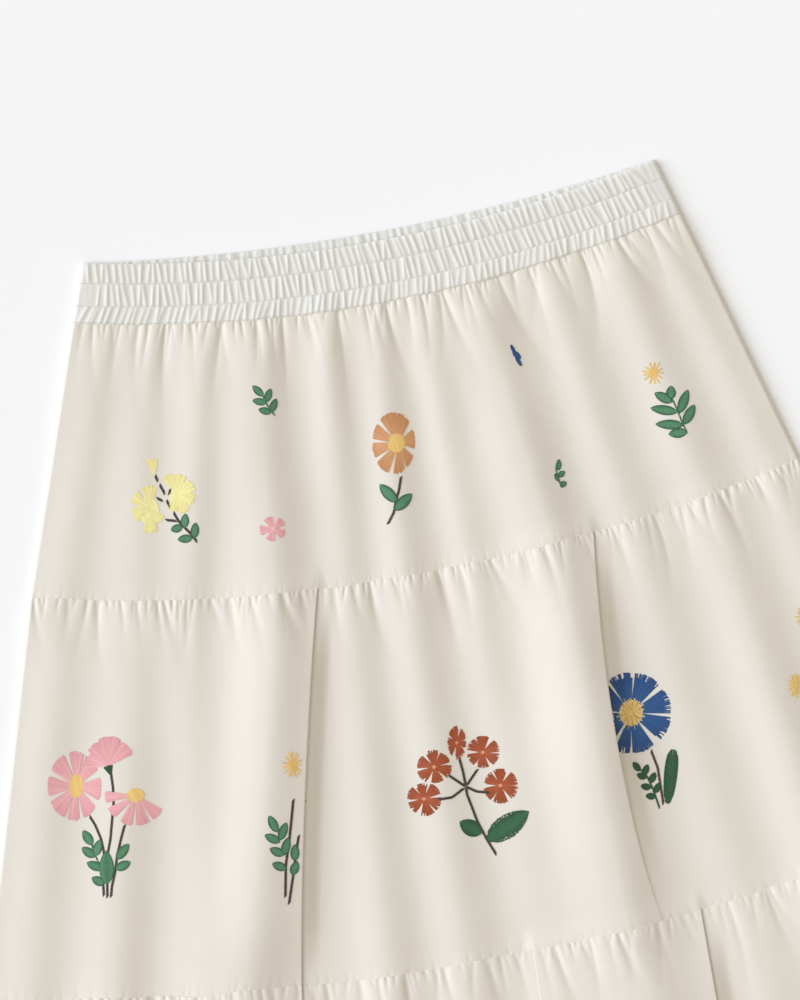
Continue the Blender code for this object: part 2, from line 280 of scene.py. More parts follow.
def row_across(level, tier, v):
    """x of each column across a front row, and the height that its laps add there."""
    half = level.half_width - SIDE_TURN
    from_seam = height_of(tier) * min(v, 1.0 if tier.open_end else 1.0 - v)
    laid = []
    for lap in tier.laps:
        across, height, drop, bank = lap_profile(lap, v, from_seam)
        edge = through(lap.edges, v) * level.half_width
        laid.append(Laid(lap, edge - outermost(lap, across) + across, height, drop, bank))
    stops = [-1.0] + [lap.edges[1] for lap in tier.laps] + [1.0]
    x, lift, left = [], [], -half
    for i, (a, b) in enumerate(zip(stops, stops[1:])):
        right = laid[i].x[0] if i < len(laid) else half
        run = np.linspace(left, right, round(tier.columns * (b - a) / 2.0))
        climb = np.zeros_like(run)
        if i < len(laid) and laid[i].lap.side > 0:
            climb += laid[i].drop * smooth_step(1.0 - (right - run - laid[i].lap.reach) / LAP_RISE)
        if i > 0 and laid[i - 1].lap.side < 0:
            climb += laid[i - 1].drop * smooth_step(1.0 - (run - left - laid[i - 1].lap.reach) / LAP_RISE)
        x.append(run)
        lift.append(climb)
        if i < len(laid):
            x.append(laid[i].x[1:-1])
            lift.append(laid[i].height[1:-1])
            left = laid[i].x[-1]
    x, lift = np.concatenate(x), np.concatenate(lift)
    for lap, across, _, _, bank in laid:
        inside = (outermost(lap, across) - x) * lap.side
        lift += bank * np.where(
            inside > 0, smooth_step(1.0 - inside / LAP_RISE), smooth_step(1.0 + inside / BANK_WIDTH))
    return x, lift


print("laps on tiers 2 and 3:", len(TIER2_LAPS), "and", len(TIER3_LAPS))

# %% [markdown]
# ## The three tiers
#
# Each tier is one tube of satin. Going round it, a row runs across the front from left
# to right, turns round the side fold, comes back under the skirt and turns up again. A
# tier's top tucks a little way under the piece above, as a seam allowance does, so no
# gap shows. The back lies flat on the surface: its creases only rise from it.

# %% What each tier is made of
SIDE_TURN = 1.7  # radius of the side fold
SIDE_STEPS = 5
FRONT_REST = 3.3  # outer face of the front where it lies flat on the back
CLOTH = 0.3  # thickness of the satin
TUCKS = ((3.0, -1.1), (0.25, -1.1))  # how far above the seam a tucked row lies, and how far below the face
BACK_RISE = 1.1  # height of the gathers on the back
BACK_FADES = 90.0  # length over which they die out
CROWDING = 0.84  # rows stand closer together near the seams
INNER_STEP = 2.4  # the inner face's rows stand at least this far apart
Tier = namedtuple(
    "Tier",
    "name number top bottom open_end rows columns back_columns laps"
    " laps_below puff_tall puff_length creases puckers seed",
)

# The creases that show in the photo: place, depth, length in mm and lean.
TIER1_CREASES = (
    (-0.93, 0.7, 30, 0.0), (-0.845, 0.8, 26, -0.1), (-0.785, 0.7, 40, -0.1), (-0.70, 0.9, 55, -0.05),
    (-0.615, 0.6, 22, 0.1), (-0.52, 0.9, 48, -0.1), (-0.41, 0.8, 26, 0.1), (-0.325, 0.9, 60, 0.05),
    (-0.245, 0.6, 24, 0.15), (-0.145, 1.0, 70, 0.05), (-0.055, 0.7, 30, 0.1), (0.015, 0.9, 55, 0.0),
    (0.08, 0.6, 26, 0.1), (0.13, 0.8, 45, 0.1), (0.20, 0.9, 60, 0.15), (0.275, 0.7, 24, 0.1),
    (0.385, 1.0, 75, 0.1), (0.485, 0.8, 38, 0.1), (0.56, 0.7, 26, 0.1), (0.66, 1.0, 65, 0.1),
    (0.785, 0.8, 40, 0.1), (0.915, 0.7, 30, 0.1),
)
TIER2_CREASES = (
    (-0.90, 0.7, 14, 0.0), (-0.826, 1.0, 27, 0.0), (-0.73, 0.6, 16, 0.2), (-0.66, 0.9, 26, 0.25),
    (-0.60, 0.7, 34, -0.05), (-0.54, 0.8, 14, 0.3), (-0.49, 0.8, 30, 0.1), (-0.44, 0.7, 24, 0.25),
    (-0.36, 0.9, 40, 0.3), (-0.23, 0.6, 18, 0.0), (-0.132, 1.0, 52, 0.0), (-0.06, 0.6, 16, 0.1),
    (0.043, 1.0, 44, 0.15), (0.10, 0.8, 24, 0.2), (0.18, 0.9, 46, 0.3), (0.27, 0.7, 20, 0.0),
    (0.32, 0.8, 30, 0.15), (0.50, 0.7, 24, 0.2), (0.61, 1.0, 40, 0.15), (0.70, 0.8, 24, 0.2),
    (0.78, 0.9, 34, 0.25), (0.88, 0.6, 18, 0.2),
)
TIER3_CREASES = (
    (-0.93, 0.7, 24, 0.0), (-0.84, 0.9, 40, -0.1), (-0.76, 0.7, 30, 0.1), (-0.66, 0.9, 55, 0.1),
    (-0.57, 0.7, 26, 0.1), (-0.50, 0.8, 40, 0.0), (-0.42, 0.7, 22, 0.1), (-0.31, 0.9, 60, 0.1),
    (-0.24, 0.7, 34, 0.1), (-0.15, 0.9, 70, 0.05), (-0.07, 0.7, 26, 0.1), (0.02, 0.9, 50, 0.1),
    (0.16, 0.8, 60, 0.1), (0.23, 0.7, 28, 0.1), (0.29, 0.8, 44, 0.2), (0.37, 0.7, 24, 0.1),
    (0.52, 0.9, 60, 0.1), (0.60, 0.7, 34, 0.1), (0.68, 0.9, 55, 0.15), (0.77, 0.8, 32, 0.1),
    (0.86, 0.7, 40, 0.1), (0.94, 0.6, 20, 0.1),
)
tiers = (
    Tier("tier1", 0, BAND_SEAM, TIER1_SEAM, False, 46, 750, 150, (),
         TIER2_LAPS, 2.3, 60.0,
         crease_table(TIER1_CREASES, 60, 26, 101), crease_table((), 78, 0, 102), 103),
    Tier("tier2", 1, TIER1_SEAM, TIER2_SEAM, False, 48, 740, 150, TIER2_LAPS,
         TIER3_LAPS[1:], 2.3, 50.0,
         crease_table(TIER2_CREASES, 105, 30, 201), crease_table((), 84, 0, 202), 203),
    Tier("tier3", 2, TIER2_SEAM, HEM, True, 48, 720, 150, TIER3_LAPS,
         (), 2.4, 70.0,
         crease_table(TIER3_CREASES, 120, 34, 301), crease_table((), 40, 0, 302), 303),
)
print("tiers:", [tier.name for tier in tiers])

# %% Height of the front cloth
BAND_PINCH = 0.35  # share of a fold's height that is left where the waistband holds it
PINCH_END = 22.0  # the folds have their full height this far below the waistband
PUCKER_TALL = 0.5
PUCKER_LENGTH = 8.0
PUFF_RISE, PUCKER_RISE = 3.2, 2.0  # how soon a puff under a seam, and a pucker over one, is at its full height
LAP_SHOWS = 16.0  # how far above a seam the laps of the next panel lift the cloth
LAP_SPAN = 14.0  # about how far those laps go back
EDGE_FROM, EDGE_WIDTH = 5.0, 7.0  # from how far outside their edge the cloth rises, and over what width
RUMPLE = 0.9  # height of the slow unevenness between folds
# How far each seam strays from its smooth line, from the band down, and how often it turns.
SEAM_WANDER = ((0.45, 80), (1.0, 34), (1.3, 34), (0.0, 1))
WANDER_SPAN = 400.0  # half the width over which those turns are counted
WANDER_FADES = 40.0  # rows this far from a seam no longer stray with it
HEM_FOLD = 12.0  # the hem is turned up this far and stitched


def lapped_seam(laps, level, x, closeness):
    """Height that a panel gains above a seam from the laps of the panel below it."""
    lift = np.zeros_like(x)
    for lap in laps:
        inside = (lap.edges[0] * level.half_width - x) * lap.side
        rise = smooth_step(1.0 - (inside - LAP_SPAN) / LAP_RISE)
        rise *= smooth_step((inside + EDGE_FROM) / EDGE_WIDTH)
        lift += PRESSED_DROP * rise * closeness
    return lift


def seam_wander(seam, x):
    reach, turns = SEAM_WANDER[seam]
    return reach * soft_noise(40 + seam, x / WANDER_SPAN, 0.0, turns, 1)


def front_height(tier, level, x, v):
    """Height of the front's outer face at points x of a row, laps apart."""
    share = x / level.half_width
    below, above = v * height_of(tier), (1.0 - v) * height_of(tier)
    uneven = 0.8 + 0.35 * soft_noise(tier.seed, share, v, 22, 3)
    held = between(BAND_PINCH, 1.0, smooth_step(below / PINCH_END)) if tier.number == 0 else 1.0
    z = FRONT_REST + held * fold_height(tier.number, share, v)
    z += puff_height(below, tier.puff_tall, PUFF_RISE, tier.puff_length) * uneven * (
        1.0 - creased(tier.creases, level, x, below))
    if tier.open_end:  # the turned-up hem is a little thicker, and its stitches press a line into it
        z += 0.4 * smooth_step((HEM_FOLD + 1.0 - above) / 3.0)
        z -= 0.3 * math.exp(-(((above - HEM_FOLD) / 1.3) ** 2))
    else:
        z += puff_height(above, PUCKER_TALL, PUCKER_RISE, PUCKER_LENGTH) * (
            1.0 - creased(tier.puckers, level, x, above))
    calm = smooth_step((below if tier.open_end else min(below, above)) / 25.0)
    z += RUMPLE * calm * (1.0 + soft_noise(tier.seed + 1, share, v, 15, 4)) / 2
    return z + lapped_seam(tier.laps_below, level, x, float(smooth_step(1.0 - above / LAP_SHOWS)))


for tier in tiers:
    middle = level_at(tier.top, tier.bottom, 0.5)
    heights = front_height(tier, middle, np.array([-100.0, 0.0, 100.0]), 0.5)
    print(tier.name, "heights half way down:", heights.round(1))

# %% One tube of cloth
def closed_ring(front, back, bulge):
    """A ring of points: a front row, the right side fold, a back row and the left side fold."""
    turn = np.linspace(math.pi / 2, -math.pi / 2, SIDE_STEPS + 2)[1:-1]
    sides = []
    for start, end, side in ((front[-1], back[0], 1.0), (back[-1], front[0], -1.0)):
        reach = abs(start[2] - end[2]) / 2.0
        swing = np.stack([np.cos(turn) * bulge * side, np.zeros_like(turn), np.sin(turn) * reach * side], axis=1)
        sides.append((start + end) / 2.0 + swing)
    return np.concatenate([front, sides[0], back, sides[1]])


def ring_row(tier, v, tuck=None):
    """One row round a tier: the front, the right side fold, the back, the left side fold."""
    level = level_at(tier.top, tier.bottom, v)
    below, above = v * height_of(tier), (1.0 - v) * height_of(tier)
    x, lift = row_across(level, tier, v)
    z = front_height(tier, level, x, v) + lift
    y = place_y(level, x) + seam_wander(tier.number, x) * (1.0 - smooth_step(below / WANDER_FADES))
    if not tier.open_end:
        y += seam_wander(tier.number + 1, x) * (1.0 - smooth_step(above / WANDER_FADES))
    half = level.half_width - SIDE_TURN
    back_x = np.linspace(half, -half, tier.back_columns)
    folded = creased(tier.creases, level, -back_x, below) * math.exp(-((below / BACK_FADES) ** 2))
    slow = 0.5 + 0.5 * soft_noise(tier.seed + 2, back_x / half, v, 16, 3)
    back_z = BACK_RISE * np.maximum(folded, 0.8 * slow ** 2 * smooth_step(below / 30.0))
    back_z *= smooth_step((half - np.abs(back_x)) / 12.0)
    back_y = place_y(level, back_x)
    if tuck:
        y, back_y = y + tuck[0], back_y + tuck[0]
        held = BAND_PINCH if tier.number == 0 else 1.0
        z = FRONT_REST + held * fold_height(tier.number, x / level.half_width, v) + lift + tuck[1]
        back_z = back_z - tuck[1]
    front = np.stack([x, y, z], axis=1)
    back = np.stack([back_x, back_y, back_z], axis=1)
    return closed_ring(front, back, SIDE_TURN)


def tier_grid(tier):
    """Outer points of a tier, row by row from its tucked top edge down."""
    t = np.linspace(0.0, 1.0, tier.rows)
    places = t - CROWDING * np.sin(2.0 * math.pi * t) / (2.0 * math.pi)
    rows = [ring_row(tier, 0.0, tuck) for tuck in TUCKS]
    rows += [ring_row(tier, v) for v in places]
    return np.array(rows)


def with_inner_face(grid):
    """The same tube as a closed shell: the inner face leaves out rows where they are crowded."""
    along = np.roll(grid, -1, axis=1) - np.roll(grid, 1, axis=1)
    down = np.gradient(grid, axis=0)
    normal = np.cross(down, along)
    normal /= np.linalg.norm(normal, axis=2, keepdims=True)
    kept = [0, 1, 2]
    for row in range(3, len(grid)):
        if row == len(grid) - 1 or abs(grid[row, 0, 1] - grid[kept[-1], 0, 1]) > INNER_STEP:
            kept.append(row)
    return np.concatenate([grid, (grid - CLOTH * normal)[kept[::-1]]])


def cloth_lengths(grid):
    """Distance along the cloth of each point from the start of its row and of its column."""
    along = np.linalg.norm(np.diff(grid, axis=1), axis=2)
    down = np.linalg.norm(np.diff(grid, axis=0), axis=2)
    across = np.concatenate([np.zeros((len(grid), 1)), np.cumsum(along, axis=1)], axis=1)
    below = np.concatenate([np.zeros((1, grid.shape[1])), np.cumsum(down, axis=0)], axis=0)
    return across, below


def add_object(name, data):
    piece = bpy.data.objects.new(name, data)
    bpy.context.scene.collection.objects.link(piece)
    return piece


def tube_mesh(name, grid, material, sharp_rows):
    """A closed shell from a grid of points whose rows are rings, with a UV map in metres."""
    rows, columns = grid.shape[:2]
    r, c = (index.ravel() for index in np.indices((rows, columns)))
    r2, c2 = (r + 1) % rows, (c + 1) % columns
    faces = np.stack([r * columns + c, r2 * columns + c, r2 * columns + c2, r * columns + c2], axis=1)
    across, below = cloth_lengths(grid)
    step = np.median(np.diff(across, axis=1))
    u = np.stack([across[r, c], across[r2, c], across[r2, c] + step, across[r, c] + step], axis=1)
    w = np.stack([below[r, c], below[r, c] + 1.0, below[r, c2] + 1.0, below[r, c2]], axis=1)
    inner = (c < columns - 1)
    u[inner, 2], u[inner, 3] = across[r2[inner], c2[inner]], across[r[inner], c2[inner]]
    lower = (r < rows - 1)
    w[lower, 1], w[lower, 2] = below[r2[lower], c[lower]], below[r2[lower], c2[lower]]
    mesh = bpy.data.meshes.new(name)
    mesh.from_pydata(to_frame(grid).reshape(-1, 3).tolist(), [], faces.tolist())
    layer = mesh.uv_layers.new(name="cloth")
    layer.data.foreach_set("uv", (np.stack([u, -w], axis=2) * MM).astype(np.float32).ravel())
    mesh.materials.append(material)
    mesh.shade_smooth()
    for edge in mesh.edges:
        first, second = (corner // columns for corner in edge.vertices)
        edge.use_edge_sharp = first == second and first in sharp_rows
    return add_object(name, mesh)


print("points round tier 1 at its seam and half way:", *(len(ring_row(tiers[0], v)) for v in (0.0, 0.5)))

# %% [markdown]
# ## Satin, threads and how light meets them
#
# Polyester satin is a smooth weave with long floats of thread on its face. It is mostly
# matt in soft light, with a broad faint gloss along the folds, and its ivory turns warmer
# in the shade of a fold. Embroidery thread is glossy viscose, and each stitch catches the
# light by itself.

# %% Materials
def linear(hex_colour):
    """An sRGB hex colour as linear values."""
    parts = [int(hex_colour[i:i + 2], 16) / 255.0 for i in (0, 2, 4)]
    return tuple(p / 12.92 if p <= 0.04045 else ((p + 0.055) / 1.055) ** 2.4 for p in parts) + (1.0,)


def add_node(tree, kind, inputs, **settings):
    """Adds a node with its settings; an input is a constant, a socket or a node's first output."""
    node = tree.nodes.new(kind)
    for key, value in settings.items():
        setattr(node, key, value)
    for key, value in inputs.items():
        if isinstance(value, bpy.types.Node):
            value = value.outputs[0]
        if isinstance(value, bpy.types.NodeSocket):
            tree.links.new(value, node.inputs[key])
        else:
            node.inputs[key].default_value = value
    return node


def start_material(name, constants):
    """A material, its tree and its shader, whose own sockets take the constant values."""
    material = bpy.data.materials.new(name)
    material.use_nodes = True
    shader = material.node_tree.nodes["Principled BSDF"]
    for key, value in constants.items():
        shader.inputs[key].default_value = value
    return material, material.node_tree, shader


# Satin-weave polyester, dyed ivory: the shine is broad, because the yarn is fine and
# flat. Slubs of 1 mm by 6 mm stand in for threads of 0.1 mm, too fine to show.
SLUBS_A_METRE = (1000.0, 160.0, 1.0)
RUMPLES_A_METRE = 38.0


def satin_material(name, base_hex, shade_hex, roughness):
    material, tree, shader = start_material(name, {
        "Roughness": roughness, "Specular IOR Level": 0.3, "Sheen Weight": 0.1, "Sheen Roughness": 0.4})
    place = add_node(tree, "ShaderNodeTexCoord", {})
    stretched = add_node(tree, "ShaderNodeMapping", {"Vector": place.outputs["UV"], "Scale": SLUBS_A_METRE})
    slub = add_node(tree, "ShaderNodeTexNoise", {"Vector": stretched, "Scale": 1.0, "Detail": 3.0})
    rumple = add_node(tree, "ShaderNodeTexNoise",
                      {"Vector": place.outputs["Object"], "Scale": RUMPLES_A_METRE, "Detail": 4.0})
    tone = add_node(tree, "ShaderNodeMix",
                    {0: rumple.outputs[0], 6: linear(base_hex), 7: linear(shade_hex)}, data_type="RGBA")
    soft = add_node(tree, "ShaderNodeBump", {"Strength": 0.25, "Distance": 0.0012, "Height": rumple.outputs[0]})
    weave = add_node(tree, "ShaderNodeBump", {"Strength": 0.1, "Distance": 0.00012, "Height": slub.outputs[0],
                                              "Normal": soft})
    tree.links.new(tone.outputs[2], shader.inputs["Base Color"])
    tree.links.new(weave.outputs[0], shader.inputs["Normal"])
    return material


satin = satin_material("ivory polyester satin", "EAE4D9", "E7E0D4", 0.5)
shirred_satin = satin_material("ivory satin shirred over elastic", "E9E7E1", "E5E3DC", 0.5)
print("materials:", satin.name, "and", shirred_satin.name)

# %% Make the tiers
cloths = {}
for tier in tiers:
    grid = tier_grid(tier)
    shell = with_inner_face(grid)
    edges = (0, 1, 2, len(grid) - 1, len(grid), len(shell) - 1)
    cloths[tier.name] = tube_mesh(f"{tier.name}_cloth", shell, satin, edges)
    print(tier.name, "rows and columns", shell.shape[:2], "top", round(grid[..., 2].max(), 1))

# %% [markdown]
# ## The waistband
#
# The waistband is a strip of the same satin, doubled over a wide elastic and stitched
# through twice, so three channels lie above each other. When the elastic relaxes it
# shirrs the strip into small ribs. Each channel gathers by itself: its ribs lean this way
# and that and meet the stitch lines at their own places.
#
# The band is a closed ring with a closed section: down its outer face, under its lower
# edge, up its inner face and over the top. The back's inner face shows as a thin strip
# above the front edge.

# %% Ribs of the waistband
BAND_HEIGHT = BAND_SEAM.drop - FRONT_WAIST.drop
RIBS = 92  # in the first channel of the front and of the back; each next one has one more
RIB_TALL = 0.9
RIB_WIDTH = 1.2
RIB_HOLLOW = 1.9  # depth of the hollows on the inner face of the back
BAND_OUTER = 4.1  # front band's outer face in the stitch lines
BAND_INNER = 2.5
BACK_BAND_TOP = 2.2
BAND_RIM, BAND_FOOT = 1.6, 1.2  # how far from its edges the band rounds down to them
FOOT_LEFT = 0.88  # share of the band's height that is left at its lower edge
STILL_ENDS = 0.03  # share of the half width over which the ribs die out beside a side seam
BAND_COVERS = 0.35  # the lower edge lies this far over the first tier
CHANNELS = (0.0, 0.34, 0.71, 1.0)  # top edge, two stitch lines and the seam, as shares
CHANNEL_STEPS = (0.0, 0.03, 0.08, 0.2, 0.35, 0.5, 0.65, 0.8, 0.92, 0.97)
BAND_COLUMNS = 900
BAND_BACK_COLUMNS = 320
SMOOTH_RIGHT, SMOOTH_LEFT = 0.93, -0.925  # beyond these places the front is hardly shirred


def rib_lines(seed, count, lean):
    """Places, leans, heights and lengths of the ribs of a channel, uneven as elastic makes them."""
    draw = np.random.RandomState(seed)
    place = (np.arange(count) + draw.uniform(-0.26, 0.26, count) + 0.5) / count * 2.0 - 1.0
    lean = lean + draw.normal(0.0, 1.3, count)
    tall = draw.uniform(0.6, 1.0, count)
    middle = draw.uniform(0.2, 0.8, count)
    return np.stack([place, lean, tall, middle])


def rib_height(lines, half, x, t):
    """Height of the ribs of one channel at points x, at share t across the channel."""
    place, lean, tall, middle = lines[:, :, None]
    aside = np.abs(x - place * half - lean * (t - 0.5))
    reach = np.exp(-(np.abs(t - middle) / 0.75) ** 4)
    ridge = tall * reach * np.exp(-((aside / RIB_WIDTH) ** 1.7))
    full = 1.0 - abs(2.0 * t - 1.0) ** 12.0
    return (1.0 - np.prod(1.0 - ridge, axis=0)) * (0.2 + 0.8 * full) + 0.2 * full


def band_rows():
    """Shares down the band, and the channel and the place in it of each."""
    rows = []
    for channel, (top, low) in enumerate(zip(CHANNELS, CHANNELS[1:])):
        for t in CHANNEL_STEPS + ((1.0,) if channel == 2 else ()):
            rows.append((between(top, low, t), channel, t))
    return rows


front_lines = [rib_lines(500 + i, RIBS + i, lean) for i, lean in enumerate((2.0, 1.2, -2.2))]
back_lines = [rib_lines(510 + i, RIBS + i, lean) for i, lean in enumerate((1.0, -0.6, 0.8))]


def rounding(t):
    """Height of a quarter circle from its foot, at t = 0, to its top, at t = 1."""
    return math.sqrt(max(0.0, 1.0 - (1.0 - min(1.0, t)) ** 2))


def band_face(front, outer, v, channel, t):
    """One row of points across a face of the band, from left to right."""
    level = level_at(FRONT_WAIST if front else BACK_WAIST, BAND_SEAM, v)
    half = level.half_width - BAND_OUTER / 2.0
    x = np.linspace(-half, half, BAND_COLUMNS if front else BAND_BACK_COLUMNS)
    lines = (front_lines if front else back_lines)[channel]
    ribs = rib_height(lines, level.half_width, x, t)
    share = x / level.half_width
    calm = smooth_step((1.0 - np.abs(share)) / STILL_ENDS)
    if front and channel < 2:
        calm = calm * (1.0 - 0.8 * smooth_step((share - SMOOTH_RIGHT) / 0.03))
    if front and channel == 1:
        calm = calm * (1.0 - 0.85 * smooth_step((SMOOTH_LEFT - share) / 0.01))
    drop = v * BAND_HEIGHT
    rim = rounding(drop / BAND_RIM)
    foot = between(FOOT_LEFT, 1.0, rounding((1.0 - v) * BAND_HEIGHT / BAND_FOOT))
    if front and outer:
        z = BAND_INNER + (BAND_OUTER - BAND_INNER + RIB_TALL * ribs * calm) * rim * foot
        z += BAND_PINCH * fold_height(0, share, 0.0) * smooth_step((v - 0.55) / 0.45)
    elif front:
        z = np.full_like(x, BAND_INNER)
    elif outer:
        z = 0.5 * RIB_TALL * (1.0 - np.clip(ribs, 0.0, 1.0)) * calm * rim
    else:
        z = BACK_BAND_TOP - RIB_HOLLOW * (1.0 - np.clip(ribs, 0.0, 1.0)) * calm
    scallop = 0.5 * (ribs - 0.6) * calm * (1.0 - smooth_step(drop / 5.0))
    if front:
        scallop += seam_wander(0, x) * smooth_step((v - 0.9) / 0.1)
        scallop -= BAND_COVERS * smooth_step((v - 0.96) / 0.04)
    return np.stack([x, place_y(level, x) + scallop, z], axis=1)


def band_ring(outer, v, channel, t):
    """One ring of points round the band: front, right side, back, left side."""
    front = band_face(True, outer, v, channel, t)
    back = band_face(False, outer, v, channel, t)[::-1]
    return closed_ring(front, back, BAND_OUTER / 2.0 if outer else 0.15)


rows = band_rows()
outer_rings = [band_ring(True, *row) for row in rows]
inner_rings = [band_ring(False, *row) for row in rows[::-4]] + [band_ring(False, *rows[0])]
band_grid = np.array(outer_rings + inner_rings)
lower_edge = len(outer_rings) - 1
waistband = tube_mesh("waistband_cloth", band_grid, shirred_satin, (lower_edge,))
print("waistband rings and columns", band_grid.shape[:2], "top", round(band_grid[..., 2].max(), 1))

# %% [markdown]
# ## Embroidery
#
# The flowers are embroidered by machine. A petal is a fan of straight satin stitches
# whose ends are uneven, like a comb. A leaf is stitched from its middle rib to its edges.
# A stem is a row of short slanting stitches, and so looks like a rope. So every motif
# here is made of threads, and a few functions draw a petal, a disc, a star, a leaf and a
# stem. Where a motif lies is read off the photo in pixels, each 0.6 mm of cloth.
#
# Each thread is drawn flat and then dropped straight down on to the cloth. Where it
# comes to the edge of a lap it is cut, because the rest of it is hidden underneath.

# %% Threads
PHOTO_TURN = math.radians(10.3)
PIXEL = 0.6  # millimetres of skirt to one pixel of the 800 by 1000 frame
WAIST_MIDDLE_PIXEL = (368.0, 210.0)
Thread = namedtuple("Thread", "points start_colour end_colour thickness")
THREAD = 0.34  # half width of a thread in mm, wider than a real one of 0.15 so that fewer fill a petal
SPACING = 0.8  # pixels from thread to thread
CROWDED = 1.6  # degrees that each petal of a ring reaches past its half spread, so that none thins at its sides
yarn = np.random.RandomState(7)
PINK, PINK_DEEP = "F4B8B8", "ECA8AC"
YELLOW, PALE_YELLOW, PALE_DEEP = "F6D07E", "FBF2AE", "F6EA9E"
STAR, BLUE, BLUE_DEEP, BLUE_MIDDLE, OCHRE = "F0C878", "2B5F97", "1F4A82", "E6C67C", "BC9040"
GREEN, GREEN_DEEP, OUTLINE, STEM, STEM_LIGHT = "5F9B73", "3D6C4B", "2B593E", "3A302A", "55493F"
LEAF, LEAF_DEEP, LONG_LEAF, LONG_LEAF_DEEP = "3B6F4A", "28503A", "2F5F3C", "234A30"
BROWN, BROWN_DEEP, TERRACOTTA, TERRACOTTA_DEEP = "DEA472", "CF9260", "B4572F", "A04A28"
# The share of the stitches that fall short of a petal's edge, and by how much.
Comb = namedtuple("Comb", "share depth")
SMOOTH_EDGE, FINE_COMB, COMB, DEEP_COMB = Comb(0.2, 0.03), Comb(0.3, 0.07), Comb(0.3, 0.15), Comb(0.33, 0.2)


def thread(start, end, colour, end_colour=None, thickness=THREAD):
    return Thread(np.array([start, end], dtype=float), colour, end_colour or colour, thickness)


def reach_at(size, bearing):
    """Distance from the middle of an ellipse to its edge, and the way there in the photo."""
    ray = np.array([math.cos(bearing), -math.sin(bearing)])
    return ray / np.linalg.norm(ray / np.array(size, dtype=float)), ray


def petal(centre, inner, outer, angle, spread, colour, tip_colour, comb=SMOOTH_EDGE, shift=(0.0, 0.0)):
    """A fan of satin stitches from the disc outwards; angles in degrees, 90 is up in the photo."""
    centre = np.array(centre, dtype=float)
    count = max(3, round(math.radians(2 * spread) * np.mean(outer) / SPACING))
    fan = []
    for i in range(count):
        share = (i + 0.5) / count * 2.0 - 1.0
        bearing = math.radians(angle + spread * share)
        short = comb.depth * yarn.uniform(0.6, 1.1) if yarn.uniform() < comb.share else 0.0
        long = 1.0 - 0.03 * share ** 4 - short - yarn.uniform(0.0, 0.03)
        tip = centre + np.array(shift) + reach_at(outer, bearing)[0] * long
        fan.append(thread(centre + reach_at(inner, bearing)[0], tip, colour, tip_colour))
    return fan


def flower(centre, inner, outer, petals, colour, tip_colour, comb=SMOOTH_EDGE, shift=(0.0, 0.0)):
    """A flower from a table of its petals: the angle and half the spread of each."""
    return [stitch for angle, spread in petals
            for stitch in petal(centre, inner, outer, angle, spread + CROWDED, colour, tip_colour, comb, shift)]


def disc(centre, size, colour, slant=70.0):
    """A flower's middle, filled with parallel stitches."""
    centre, size = np.array(centre, dtype=float), np.array(size, dtype=float)
    along = np.array([math.cos(math.radians(slant)), math.sin(math.radians(slant))])
    across = np.array([-along[1], along[0]])
    count = max(3, round(2.0 * size.mean() / SPACING))
    rows = []
    for i in range(count):
        offset = (i + 0.5) / count * 2.0 - 1.0
        half = math.sqrt(1.0 - offset ** 2) * yarn.uniform(0.9, 1.0)
        rows.append(thread(centre + (across * offset - along * half) * size,
                           centre + (across * offset + along * half) * size, colour))
    return rows


def star(centre, size, rays, colour=STAR):
    """Loose rays from a small middle."""
    centre, size = np.array(centre, dtype=float), np.array(size, dtype=float)
    spikes = disc(centre, size * 0.42, colour)
    for i in range(rays):
        bearing = math.tau * (i + yarn.uniform(-0.2, 0.2)) / rays
        ray = np.array([math.cos(bearing), math.sin(bearing)]) * size
        tip = centre + ray * yarn.uniform(0.85, 1.05)
        spikes.append(thread(centre + ray * 0.2, tip, colour, thickness=0.42))
    return spikes


def blossom(centre, size, petals, colour, tip_colour, first=90.0, dot=None, fullness=0.80, comb=DEEP_COMB):
    """A small flower of comb-edged petals that touch at the middle."""
    made = []
    for i in range(petals):
        angle = first + 360.0 * i / petals + yarn.uniform(-4.0, 4.0)
        reach = np.array(size) * yarn.uniform(0.93, 1.03)
        made += petal(centre, np.array(size) * 0.1, reach, angle, 180.0 / petals * fullness,
                      colour, tip_colour, comb)
    return made + (disc(centre, (1.9, 1.9), dot) if dot else [])


def petal_to(base, tip, wide, colour, tip_colour, comb=FINE_COMB):
    """A single petal that widens from its base to a blunt tip."""
    base, tip = np.array(base, dtype=float), np.array(tip, dtype=float)
    run = tip - base
    length = np.linalg.norm(run)
    spread = math.degrees(math.atan(wide / 2.0 / length))
    return petal(base, (0.5, 0.5), (length, length), math.degrees(math.atan2(-run[1], run[0])), spread,
                 colour, tip_colour, comb)


# How a leaf's width runs along it: the first power moves the widest place, the second
# makes the ends blunter.
POINTED, BLUNT = (0.8, 0.75), (1.15, 0.3)


